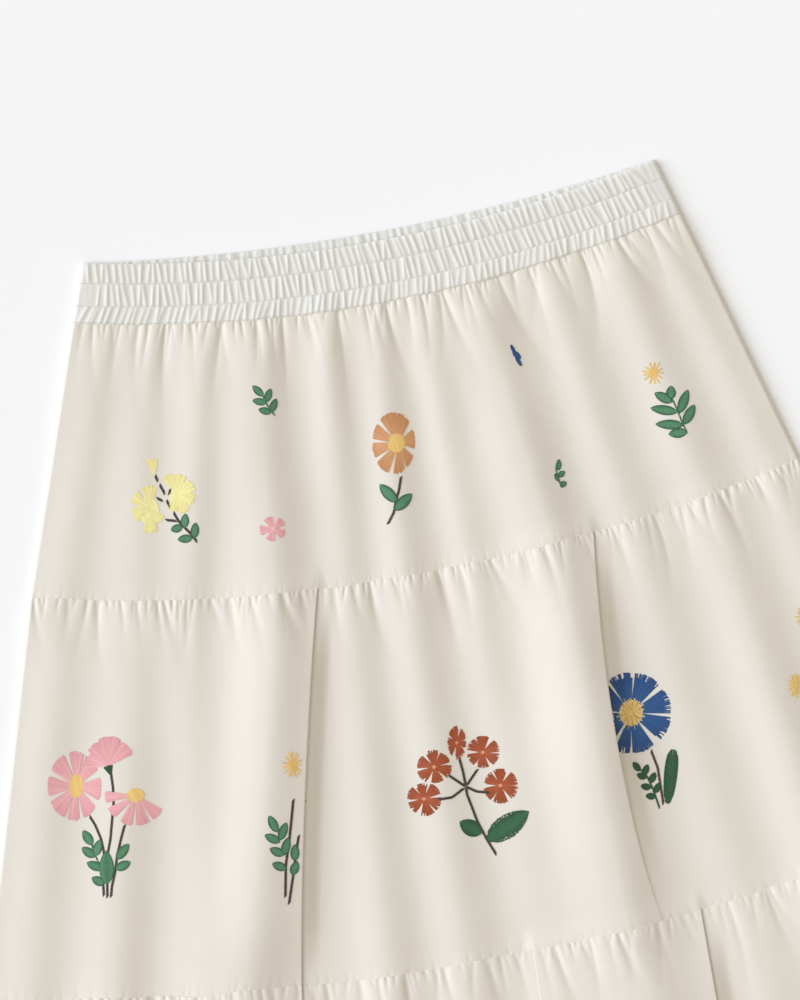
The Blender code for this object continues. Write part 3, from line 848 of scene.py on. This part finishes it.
def leaf(base, tip, width, colour=GREEN, edge_colour=GREEN_DEEP, ragged=0.05, outline=OUTLINE, shape=POINTED):
    """Stitches from the middle rib out to both edges, slanting towards the tip."""
    base, tip = np.array(base, dtype=float), np.array(tip, dtype=float)
    axis = tip - base
    length = np.linalg.norm(axis)
    aside = np.array([-axis[1], axis[0]]) / length
    count = max(4, round(length / SPACING))
    stitches = []
    for i in range(count):
        # Each stitch runs from colour at the rib to edge_colour at its end. Where the edge colour is the darker
        # one, as it mostly is, this is a painted sheen along the middle of the leaf and painted shade at its edges,
        # where the threads dive into the cloth.
        t = (i + 0.5) / count
        half = 0.5 * width * math.sin(math.pi * t ** shape[0]) ** shape[1]
        ahead = base + axis * (t + 0.2 * (1.0 - t) * t)
        for side in (-1.0, 1.0):
            reach = half * yarn.uniform(1.0 - 2.0 * ragged, 1.0 + ragged)
            stitches.append(thread(base + axis * t + aside * side * 0.25, ahead + aside * side * reach,
                                   colour, edge_colour))
    stitches.append(thread(base, tip - axis * 0.1, edge_colour, thickness=0.2))
    # The dark outline is partly the leaf's own outline stitching and partly painted shade along its edges.
    places = np.linspace(0.0, 1.0, 9)
    halves = 0.5 * width * np.clip(np.sin(math.pi * places ** shape[0]), 0.0, 1.0) ** shape[1]
    for side in (-1.0, 1.0):
        ahead = places + 0.2 * (1.0 - places) * places
        edge = base + axis * ahead[:, None] + aside * (side * halves)[:, None]
        stitches += [thread(a, b, outline, thickness=0.3) for a, b in zip(edge, edge[1:])]
    return stitches


def stem(*numbers, colour=STEM, light=STEM_LIGHT, wide=1.1):
    """A rope of short slanting stitches along a path, given as x, y, x, y and so on."""
    points = np.array(numbers, dtype=float).reshape(-1, 2)
    steps = np.concatenate([[0.0], np.cumsum(np.linalg.norm(np.diff(points, axis=0), axis=1))])
    places = np.arange(0.0, steps[-1], 1.5)
    path = np.stack([np.interp(places, steps, points[:, 0]), np.interp(places, steps, points[:, 1])], axis=1)
    rope = []
    for i in range(len(path) - 2):
        run = path[i + 2] - path[i]
        aside = np.array([-run[1], run[0]]) / np.linalg.norm(run) * wide
        rope.append(thread(path[i] - aside, path[i + 2] + aside, colour if i % 3 else light, thickness=0.36))
    return rope


print("a leaf 10 mm long takes", len(leaf((0, 0), (0, 10 / PIXEL), 10)), "threads")

# %% Motifs of the first tier
Motif = namedtuple("Motif", "tier anchor threads")
motifs = {}


def embroider(name, tier, anchor, *parts):
    """Notes a motif: its tier, a place in it that the cloth joins to all of it, and its threads."""
    motifs[name] = Motif(tier, anchor, [stitch for part in parts for stitch in part])


def leaves(rows, width, *colours):
    return [stitch for base_x, base_y, tip_x, tip_y in rows
            for stitch in leaf((base_x, base_y), (tip_x, tip_y), width, *colours)]


embroider("five leaves", "tier1", (265, 402),
    leaves(((263, 396, 253, 386), (266, 402, 270.5, 389), (266, 403, 253, 400.5), (271, 412, 276, 399),
            (271, 412.5, 259, 409.5)), 6.4),
    stem(262, 394, 267, 405, 275, 416, colour=GREEN_DEEP, light=GREEN, wide=0.3))
LEFT_BLOSSOM, RIGHT_BLOSSOM = (150, 509), (177.4, 494.4)
BRANCH_PETALS = (
    ((154.5, 475.5), (151.0, 459), 13), (LEFT_BLOSSOM, (148.7, 485.5), 17), (LEFT_BLOSSOM, (132.5, 496), 15),
    (LEFT_BLOSSOM, (132.4, 515.4), 16), (LEFT_BLOSSOM, (149.7, 533.2), 17), (LEFT_BLOSSOM, (161, 521), 13),
    (RIGHT_BLOSSOM, (166.5, 474.8), 14), (RIGHT_BLOSSOM, (181, 474), 13), (RIGHT_BLOSSOM, (193.5, 484.2), 14),
    (RIGHT_BLOSSOM, (194.5, 500.5), 14), (RIGHT_BLOSSOM, (185, 512.6), 13), (RIGHT_BLOSSOM, (171, 511), 12),
)
embroider("yellow branch", "tier1", (165, 500),
    disc((147.5, 510), (11.0, 13.5), PALE_YELLOW), disc((180, 494.5), (11.5, 12.5), PALE_YELLOW),
    [stitch for row in BRANCH_PETALS for stitch in petal_to(*row, PALE_YELLOW, PALE_DEEP)],
    stem(154.5, 475, 158, 482), stem(159, 484, 165.5, 495.5), stem(170.5, 488, 168.5, 496),
    stem(156, 498, 163, 501), stem(166, 500, 171, 509), stem(165, 520, 177, 521),
    stem(173, 512, 179, 522, 190, 533, 198, 543),
    leaves(((182, 527, 171, 530), (184, 528, 185.5, 514), (192, 538, 178, 539.5), (194, 538, 195.5, 523)), 7.5))
embroider("small pink blossom", "tier1", (272.7, 528.8),
    disc((272.7, 528.8), (5.6, 5.6), PINK),
    blossom((272.7, 528.8), (13.0, 13.0), 5, PINK, PINK_DEEP, 114, "F3C4CB", 0.62, FINE_COMB))
BROWN_PETALS = ((102, 16), (68, 13), (11, 24), (-48, 13), (-79, 10), (-115, 14), (-161, 18), (149, 17))
embroider("brown daisy", "tier1", (396.4, 443.1),
    flower((396.4, 443.1), (7.5, 9.0), (21.6, 31.5), BROWN_PETALS, BROWN, BROWN_DEEP, shift=(-2.8, 0.0)),
    disc((396.4, 443.1), (8.4, 9.9), YELLOW), stem(401, 476, 399, 490, 396, 500, 394, 512, 387, 526),
    leaf((396.5, 502), (380, 484.5), 10.5), leaf((395, 510), (411.5, 494), 10.5))
embroider("blue twig", "tier1", (515, 356),
    leaf((514.5, 352.5), (510.8, 345), 2.8, BLUE, BLUE_DEEP, outline=BLUE_DEEP),
    leaf((512.8, 351.5), (520.5, 358.5), 4.8, BLUE, BLUE_DEEP, outline=BLUE_DEEP),
    leaf((515.5, 356), (521.3, 366), 3.0, BLUE, BLUE_DEEP, outline=BLUE_DEEP))
embroider("thin sprig", "tier1", (559, 475),
    leaf((558.5, 470), (559, 459.5), 4.6),
    stem(555.5, 465, 557, 476, 562.5, 489, colour=GREEN_DEEP, light=GREEN, wide=0.4),
    leaf((558.5, 476.5), (564.5, 471.5), 5.0), leaf((560.5, 486), (566, 482), 5.0),
    leaf((558.5, 481), (555, 474), 3.4))
embroider("yellow star", "tier1", (653, 373), star((653, 373), (11.5, 12), 13))
embroider("six leaves", "tier1", (673, 411),
    stem(668, 390, 675, 405, 682, 422, 688, 435, colour=GREEN_DEEP, light=GREEN, wide=0.4),
    leaves(((671, 399, 671, 386), (672, 402, 655, 393), (677, 412, 651, 408), (679, 413, 688, 390),
            (683, 425, 656, 424), (684, 424, 694.5, 405), (686.5, 432, 669, 434)), 9.0))
print("motifs on the first tier:", len(motifs))

# %% Motifs of the second tier
COSMOS_PETALS = ((86.5, 11.5), (52, 16), (-6.5, 23), (-59, 13.5), (-92, 9), (-127, 18), (180, 20), (127, 17))
HALF_PETALS = ((183, 9.5), (-144, 9.5), (-108.5, 9.7), (-75, 11), (-41, 11.5))
FAN_PETALS = ((167.5, 20.5, 23), (130, 15, 27), (89.5, 22.5, 29.5), (45.5, 18.5, 27.5))
embroider("pink bunch", "tier2", (106, 815),
    stem(89, 816, 95, 825, 101, 839, 104, 852, 102.5, 873, 104, 897),
    stem(111, 774, 113, 787.5, 113.6, 804, 112, 821, 110.5, 839, 108, 852, 107, 868, 107.5, 899),
    stem(125, 824, 121, 839, 117, 857, 115, 873, 112, 886, 111, 898),
    stem(91, 843, 95, 855, 99, 864, 102.5, 872, colour=GREEN_DEEP, light=GREEN, wide=0.5),
    flower((75.4, 786.3), (6.5, 11.0), (27.2, 35.0), COSMOS_PETALS, PINK, PINK_DEEP, shift=(-1.2, 0.0)),
    disc((75.4, 786.3), (7.2, 12.2), YELLOW),
    [stitch for angle, spread, reach in FAN_PETALS
     for stitch in petal((109, 765.5), (0.5, 0.5), (reach, reach), angle, spread + 0.6, PINK, PINK_DEEP)],
    petal_to((111.3, 776), (107.6, 765), 11.0, LEAF_DEEP, LEAF_DEEP),
    flower((135.3, 795.4), (8.0, 6.6), (31.0, 30.5), HALF_PETALS, PINK, PINK_DEEP),
    disc((135.3, 795.4), (8.8, 7.3), YELLOW),
    leaves(((92, 845, 83, 831), (94.5, 857, 82, 848), (95, 856, 100, 840), (102, 869, 87, 863), (104, 884, 92, 878),
            (117, 859, 128.5, 844), (116, 869, 130, 862)), 8.5),
    leaf((106.8, 884), (106.4, 851), 14.0, GREEN_DEEP, "4C8A62"))
embroider("star and two stems", "tier2", (286, 845),
    star((292.7, 764), (10, 14), 15), stem(293.6, 798, 291, 825, 289, 843, 286, 864, 285.5, 898),
    stem(299, 834, 296, 854, 293, 877, 289, 904),
    leaves(((277.5, 831, 269.5, 815), (280, 841, 265.5, 834), (280, 839, 286.5, 822), (284, 854, 288.5, 837),
            (284, 854, 270.5, 847.5), (286, 868, 273, 862.5), (295, 860, 295, 844), (292.5, 874, 297, 861)), 8.0))
embroider("hidden star", "tier2", (314, 802), star((303, 802), (8, 9), 12))
UMBEL = ((424, 799, 17.5, 17), (434, 767, 17.5, 17), (456.7, 743, 9.5, 17.5),
         (483, 752.6, 17.5, 17), (500.5, 785.6, 17.5, 18))
embroider("terracotta umbel", "tier2", (466, 800),
    [stitch for x, y, wide, tall in UMBEL
     for stitch in blossom((x, y), (wide, tall), 6, TERRACOTTA, TERRACOTTA_DEEP,
                           yarn.uniform(70, 110), "E3A184")],
    stem(438, 799.5, 452, 797.5, 465.8, 787), stem(448, 775, 465.8, 787), stem(459, 758, 463, 772, 465.8, 787),
    stem(478, 769, 465.8, 787),
    stem(491, 793, 477, 792, 465.8, 787, 467, 795, 470.6, 804, 477, 821, 487, 840, 497, 856),
    leaf((481, 834), (460, 822), 15.5, LEAF, LEAF_DEEP),
    leaf((487, 841), (528.5, 811.5), 22.0, LEAF, LEAF_DEEP, 0.14))
BLUE_PETALS = ((106, 17), (64.5, 17.5), (18, 17), (-25, 17), (-71, 15), (-103, 10.5), (-152, 26), (151, 20))
embroider("blue daisy", "tier2", (634, 712),
    flower((631, 713), (12.0, 13.0), (41.0, 41.0), BLUE_PETALS, BLUE, BLUE_DEEP, COMB),
    disc((631, 713), (10.5, 12.0), BLUE_MIDDLE), star((631, 713), (14.5, 16.2), 24, BLUE_MIDDLE),
    star((631, 713), (12.0, 13.5), 13, OCHRE)[-13:],  # its rays alone
    stem(651, 750, 658, 768, 661, 787, 664, 806, colour="4C3434", light="6E4A44"),
    leaf((668, 804), (673.5, 750), 12.5, LONG_LEAF, LONG_LEAF_DEEP, shape=BLUNT),
    stem(637, 766, 647.5, 777, 653, 789, 660, 809, colour=LONG_LEAF_DEEP, light=LONG_LEAF, wide=0.6),
    leaves(((640, 771, 633, 762.5), (644, 775, 648, 765), (646.5, 778, 637, 774.5), (650.5, 783, 655.5, 773),
            (651, 788, 641, 786), (655, 793, 660.5, 783), (655.5, 797, 646, 796)), 6.0, LONG_LEAF, LONG_LEAF_DEEP))
embroider("edge stars", "tier2", (792, 650), star((803, 617), (7.5, 11), 12), star((795, 685), (7.8, 13), 14))
print("motifs in the photo:", len(motifs), "threads:", sum(len(m.threads) for m in motifs.values()))

# %% Lay the threads on the cloth
from mathutils import Vector
from mathutils.bvhtree import BVHTree

# With each third thread laid and not every one, its points stand further apart and it is wider.
STEP = {1: 1.5, 3: 3.0}  # pixels between the points of a thread
THREAD_FOR_STEP = {1: 1.0, 3: 2.6}
LAP_JUMP = 1.5 * MM  # the cloth's height changes this much in one step only at a lap
ABOVE_CLOTH = 0.2  # in metres, where the rays that look for the cloth start
LIFT = 0.10 * MM  # later threads of a motif lie up to three times as high, over the earlier ones
surfaces = {}
for name, piece in cloths.items():
    surfaces[name] = BVHTree.FromObject(piece, bpy.context.evaluated_depsgraph_get())


def photo_plane(px, py):
    """The frame's x and y, in metres, of a place in the photo."""
    dx, dy = px - WAIST_MIDDLE_PIXEL[0], py - WAIST_MIDDLE_PIXEL[1]
    right = dx * math.cos(PHOTO_TURN) - dy * math.sin(PHOTO_TURN)
    down = dx * math.sin(PHOTO_TURN) + dy * math.cos(PHOTO_TURN)
    return (waist_x + right * PIXEL) * MM, (waist_y - down * PIXEL) * MM


def on_cloth(surface, x, y, side):
    """The point of the outer face above or below x, y, and its normal."""
    hit, normal, _, _ = surface.ray_cast(Vector((x, y, side * ABOVE_CLOTH)), Vector((0.0, 0.0, -side)))
    return hit, normal


def walk(surface, plane, start, end, side, step):
    """Points on the cloth from start to end, up to where a lap or the cloth's edge cuts them off."""
    count = max(2, math.ceil(math.dist(start, end) / STEP[step]) + 1)
    found = []
    for t in np.linspace(0.0, 1.0, count):
        hit, normal = on_cloth(surface, *plane(*between(np.array(start), np.array(end), t)), side)
        if hit is None or (found and abs(hit.z - found[-1][0].z) > LAP_JUMP):
            return found, False
        found.append((hit, normal))
    return found, True


def lay(threads, surface, plane, anchor, side, step=1):
    """Threads as polylines on the cloth, each reached from the anchor without crossing a lap."""
    laid = []
    for order, one in list(enumerate(threads))[::step]:
        _, seen = walk(surface, plane, anchor, one.points[0], side, 1)
        if seen:
            line, _ = walk(surface, plane, one.points[0], one.points[1], side, step)
            if len(line) > 1:
                laid.append((line, one, THREAD_FOR_STEP[step], order / len(threads)))
    return laid


laid = {name: [] for name in cloths}
for motif in motifs.values():
    laid[motif.tier] += lay(motif.threads, surfaces[motif.tier], photo_plane, motif.anchor, 1)
print("threads laid on each tier:", {name: len(lines) for name, lines in laid.items()})

# %% [markdown]
# The frame ends below the second tier's seam, and the back can't be seen. The cloth is
# embroidered all over before it is cut, so the same motifs go on there too, with two
# threads of three left out.

# %% Motifs on the third tier and the back
Copy = namedtuple("Copy", "motif tier side share v")
COPIES = [Copy(*row) for row in (
    ("blue daisy", 2, 1, -0.76, 0.30), ("terracotta umbel", 2, 1, -0.16, 0.42), ("pink bunch", 2, 1, 0.74, 0.50),
    ("brown daisy", 2, 1, 0.29, 0.28), ("six leaves", 2, 1, -0.50, 0.24), ("yellow branch", 2, 1, 0.0, 0.80),
    ("small pink blossom", 2, 1, -0.62, 0.62), ("yellow star", 2, 1, 0.56, 0.28),
    ("brown daisy", 2, 1, -0.86, 0.78), ("blue daisy", 2, 1, 0.28, 0.72), ("five leaves", 2, 1, 0.88, 0.82),
    ("pink bunch", 2, 1, -0.48, 0.76),
    ("brown daisy", 0, -1, -0.5, 0.5), ("six leaves", 0, -1, 0.55, 0.5), ("yellow branch", 0, -1, 0.05, 0.6),
    ("small pink blossom", 0, -1, 0.82, 0.55), ("yellow star", 0, -1, -0.8, 0.35),
    ("terracotta umbel", 1, -1, -0.6, 0.55), ("pink bunch", 1, -1, 0.1, 0.5), ("blue daisy", 1, -1, 0.66, 0.45),
    ("blue daisy", 2, -1, -0.5, 0.35), ("brown daisy", 2, -1, 0.0, 0.3), ("terracotta umbel", 2, -1, 0.5, 0.45),
    ("pink bunch", 2, -1, -0.78, 0.75), ("six leaves", 2, -1, 0.2, 0.78), ("yellow branch", 2, -1, 0.8, 0.8))]


def photo_place(level, share):
    """Where a place of the cloth would be in the photo, in pixels."""
    x = share * level.half_width
    y = place_y(level, x)
    right, down = (x - LEAN * y) / PIXEL, -y / PIXEL
    return np.array([
        WAIST_MIDDLE_PIXEL[0] + right * math.cos(PHOTO_TURN) + down * math.sin(PHOTO_TURN),
        WAIST_MIDDLE_PIXEL[1] - right * math.sin(PHOTO_TURN) + down * math.cos(PHOTO_TURN)])


def moved_plane(motif, place, side):
    """A plane that carries a motif to another place; on the back it is turned over."""
    middle = np.array(motif.anchor, dtype=float)

    def plane(px, py):
        return photo_plane(place[0] + (px - middle[0]) * side, place[1] + py - middle[1])
    return plane


for copy in COPIES:
    tier, motif = tiers[copy.tier], motifs[copy.motif]
    place = photo_place(level_at(tier.top, tier.bottom, copy.v), copy.share)
    laid[tier.name] += lay(motif.threads, surfaces[tier.name], moved_plane(motif, place, copy.side),
                           motif.anchor, copy.side, step=3)
print("threads with the hidden sides:", {name: len(lines) for name, lines in laid.items()})

# %% Turn the threads into ribbons
# Rayon embroidery thread: twisted and glossy, so a petal shines along its stitches. Its
# colour comes from the thread itself.
rayon, tree, shader = start_material("rayon embroidery thread", {
    "Roughness": 0.42, "Specular IOR Level": 0.45, "Sheen Weight": 0.2})
dye = add_node(tree, "ShaderNodeAttribute", {}, attribute_name="thread_colour")
tree.links.new(dye.outputs["Color"], shader.inputs["Base Color"])
THREAD_TURN = math.pi / 2  # turns the three-sided profile until one side lies flat on top
THREAD_SHAPE = (0.4, 1.15, 1.0)  # scales the turned profile to a flat and slightly wide one


def lines_tree(name, *sizes):
    """Starts a geometry tree that turns edges to curves: the tree, the curves, its inputs, their names."""
    tree = bpy.data.node_groups.new(name, "GeometryNodeTree")
    tree.interface.new_socket("Geometry", in_out="INPUT", socket_type="NodeSocketGeometry")
    named = {size: tree.interface.new_socket(size, in_out="INPUT", socket_type="NodeSocketFloat").identifier
             for size in sizes}
    tree.interface.new_socket("Geometry", in_out="OUTPUT", socket_type="NodeSocketGeometry")
    given = add_node(tree, "NodeGroupInput", {})
    return tree, add_node(tree, "GeometryNodeMeshToCurve", {"Mesh": given}), given.outputs, named


def end_tree(tree, geometry, material):
    real = add_node(tree, "GeometryNodeRealizeInstances", {"Geometry": geometry})
    dressed = add_node(tree, "GeometryNodeSetMaterial", {"Geometry": real, "Material": material})
    add_node(tree, "NodeGroupOutput", {"Geometry": dressed})


def thread_tree(material):
    """A tree that makes a flat ribbon of each polyline, as wide as its points say."""
    tree, curve, given, named = lines_tree("threads", "Unit width")
    level = add_node(tree, "GeometryNodeSetCurveNormal", {"Curve": curve}, mode="Z_UP")
    ring = add_node(tree, "GeometryNodeCurvePrimitiveCircle", {"Resolution": 3, "Radius": given["Unit width"]})
    flat = add_node(tree, "GeometryNodeTransform", {
        "Geometry": ring, "Rotation": (0.0, 0.0, THREAD_TURN), "Scale": THREAD_SHAPE})
    thick = add_node(tree, "GeometryNodeInputNamedAttribute", {"Name": "thickness"}, data_type="FLOAT")
    tube = add_node(tree, "GeometryNodeCurveToMesh", {
        "Curve": level, "Profile Curve": flat, "Scale": thick, "Fill Caps": True})
    crisp = add_node(tree, "GeometryNodeSetShadeSmooth", {"Geometry": tube, "Shade Smooth": False})
    end_tree(tree, crisp, material)
    return tree, named


def made_by(tree, source_mesh, name, inputs):
    """A plain mesh object from what a node tree makes of a mesh."""
    source = add_object(name + "_lines", source_mesh)
    maker = source.modifiers.new("maker", "NODES")
    maker.node_group = tree
    for socket, value in inputs.items():
        maker[socket] = value
    made = bpy.data.meshes.new_from_object(source.evaluated_get(bpy.context.evaluated_depsgraph_get()))
    bpy.data.objects.remove(source)
    return add_object(name, made)


def ribbons(name, lines, tree, unit):
    """A plain mesh of ribbons from the laid threads."""
    points, edges, colours, thickness = [], [], [], []
    for line, one, scale, order in lines:
        tone = yarn.uniform(0.90, 1.10)
        lift = LIFT * (yarn.uniform(0.8, 1.2) + 1.6 * order)
        first, last = np.array(linear(one.start_colour)), np.array(linear(one.end_colour))
        for i, (hit, normal) in enumerate(line):
            if i:
                edges.append((len(points) - 1, len(points)))
            points.append(hit + normal * lift)
            colours.append(np.clip(between(first, last, i / (len(line) - 1)) * tone, 0.0, 1.0))
            thickness.append(one.thickness * scale)
    mesh = bpy.data.meshes.new(name + "_lines")
    mesh.from_pydata(points, edges, [])
    dye = mesh.attributes.new("thread_colour", "FLOAT_COLOR", "POINT")
    dye.data.foreach_set("color", np.array(colours).astype(np.float32).ravel())
    thick = mesh.attributes.new("thickness", "FLOAT", "POINT")
    thick.data.foreach_set("value", np.array(thickness, dtype=np.float32))
    return made_by(tree, mesh, name, {unit: MM})


embroidery_tree, named = thread_tree(rayon)
for name, lines in laid.items():
    if lines:
        piece = ribbons(f"{name}_embroidery", lines, embroidery_tree, named["Unit width"])
        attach(piece, "root")
        print(piece.name, "polygons", len(piece.data.polygons))

# %% [markdown]
# ## Seam stitches
#
# A sewing machine makes a row of even stitches: a short straight thread, a small gap where
# it dives through the cloth, and so on. Two rows hold the elastic's channels, one closes
# the waistband's seam and one holds the turned-up hem. Each row is a line on the cloth,
# and a node tree sets the stitches one after another along it.

# %% Seam stitches
# Spun polyester thread, matt and a little darker than the satin.
sewing_thread, _, _ = start_material("polyester sewing thread", {
    "Base Color": linear("E0DBD0"), "Roughness": 0.7})


def stitch_tree(material):
    """A tree that sets short round stitches one after another along each polyline."""
    tree, curve, given, named = lines_tree("stitches", "Pitch", "Stitch length", "Thread radius")
    points = add_node(tree, "GeometryNodeCurveToPoints", {
        "Curve": curve, "Length": given["Pitch"]}, mode="LENGTH")
    along = add_node(tree, "FunctionNodeAlignRotationToVector", {
        "Vector": points.outputs["Tangent"]}, axis="Z")
    stitch = add_node(tree, "GeometryNodeMeshCylinder", {
        "Vertices": 5, "Radius": given["Thread radius"], "Depth": given["Stitch length"]})
    placed = add_node(tree, "GeometryNodeInstanceOnPoints", {
        "Points": points, "Instance": stitch, "Rotation": along})
    end_tree(tree, placed, material)
    return tree, named


MIDDLE_HEIGHT = 1.7  # above it a ring's points lie on the front


def ring_line(ring, raised):
    """A closed ring of points moved outwards, away from the skirt's middle height."""
    ring = ring.copy()
    ring[:, 2] += np.where(ring[:, 2] > MIDDLE_HEIGHT, raised, -raised)
    return np.concatenate([ring, ring[:1]])


RAISED = 0.12  # the middle of a stitch lies this far outside the face, in mm
ROW_INSIDE_SEAM = 2  # rows from the lower edge of the band to its stitches
tier3 = tiers[2]
hem_v = 1.0 - HEM_FOLD / height_of(tier3)
channel_rows = [i for i, (_, channel, t) in enumerate(rows) if t == 0.0 and channel > 0]
seam_rows = channel_rows + [len(rows) - 1 - ROW_INSIDE_SEAM]
sewing_tree, named = stitch_tree(sewing_thread)
# Each piece's rings, and the pitch, length and thread radius of its stitches.
for name, rings, sizes in (("waistband_stitches", [outer_rings[i] for i in seam_rows], (2.4, 1.9, 0.14)),
                           ("hem_stitches", [ring_row(tier3, hem_v)], (3.0, 2.4, 0.16))):
    points, edges = [], []
    for ring in (ring_line(one, RAISED) for one in rings):
        edges += [(len(points) + i, len(points) + i + 1) for i in range(len(ring) - 1)]
        points += to_frame(ring).tolist()
    line_mesh = bpy.data.meshes.new(name)
    line_mesh.from_pydata(points, edges, [])
    piece = made_by(sewing_tree, line_mesh, name, dict(zip(named.values(), (size * MM for size in sizes))))
    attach(piece, "root")
    print(piece.name, "polygons", len(piece.data.polygons))

# %% [markdown]
# ## Whose place each piece takes
#
# Every piece rides on the one rigid body. A tube of cloth stands for the plain solids that
# it hides, and the embroidery and the stitches are added to it.
#
# The cut of each tier is its flat size all round before it was gathered: about 1.35 to
# 1.5 times the width that it is sewn to.

pieces = {"waistband": waistband, **cloths}
for name, piece in pieces.items():
    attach(piece, "root")
    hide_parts(f"{name}_front", f"{name}_back")

# %% [markdown]
# ## Floor, light and camera
#
# The skirt lies on a pale matt floor. The camera looks straight down at it, turned by
# 10.3 degrees, because the skirt lies at a slant in the photo. Its lens is chosen so that
# one pixel is 0.6 mm at the height of the folds.

# %% Floor
floor_material, _, _ = start_material("pale matt studio floor", {
    "Base Color": linear("FEFEFE"), "Roughness": 0.9, "Specular IOR Level": 0.0})
floor_mesh = bpy.data.meshes.new("floor")
FLOOR_HALF = 6.0
FLOOR_LEVEL = -0.5 * MM  # just under the skirt's back
floor_mesh.from_pydata([(x * FLOOR_HALF, y * FLOOR_HALF, FLOOR_LEVEL)
                        for x, y in ((-1, -1), (1, -1), (1, 1), (-1, 1))], [], [(0, 1, 2, 3)])
floor_mesh.materials.append(floor_material)
add_object("floor", floor_mesh)
print("floor:", 2 * FLOOR_HALF, "m wide")

# %% Camera
CAMERA_HEIGHT = 2.4
SENSOR = 36.0
PHOTO_WIDTH, PHOTO_HEIGHT = 800, 1000  # pixels
camera = add_object("camera", bpy.data.cameras.new("camera"))
camera.data.sensor_fit = "VERTICAL"
camera.data.sensor_height = SENSOR
FOLD_MIDDLE = 0.008  # the frame's scale holds at the height of the folds
camera.data.lens = SENSOR * (CAMERA_HEIGHT - FOLD_MIDDLE) / (PHOTO_HEIGHT * PIXEL * MM)
camera.location = (*photo_plane(PHOTO_WIDTH / 2, PHOTO_HEIGHT / 2), CAMERA_HEIGHT)
camera.rotation_euler = (0.0, 0.0, -PHOTO_TURN)
camera.data.clip_end = 20.0
bpy.context.scene.camera = camera
print("lens in mm:", round(camera.data.lens, 1))

# %% Light
# A large window or softbox far off to the left, low enough that each fold has a light and
# a dark flank, and a warm room that fills the shade.
KEY_BEARING, KEY_HEIGHT = 172.0, 34.0  # degrees; bearing in the photo's plane, 0 to the right
key = bpy.data.lights.new("key window", "SUN")
key.energy = 2.4
key.angle = math.radians(60.0)
key.color = (0.90, 1.0, 1.18)
window = add_object("key window", key)
window.rotation_euler = (math.radians(90.0 - KEY_HEIGHT), 0.0, math.radians(KEY_BEARING + 90.0) - PHOTO_TURN)
world = bpy.data.worlds.new("studio")
world.use_nodes = True
room = world.node_tree.nodes["Background"].inputs
room["Color"].default_value = (1.085, 1.0, 0.85, 1.0)
room["Strength"].default_value = 0.50
bpy.context.scene.world = world
bpy.context.scene.view_settings.view_transform = "Standard"
bpy.context.scene.view_settings.look = "None"
print("key light:", KEY_HEIGHT, "degrees high, strength", round(key.energy, 2))
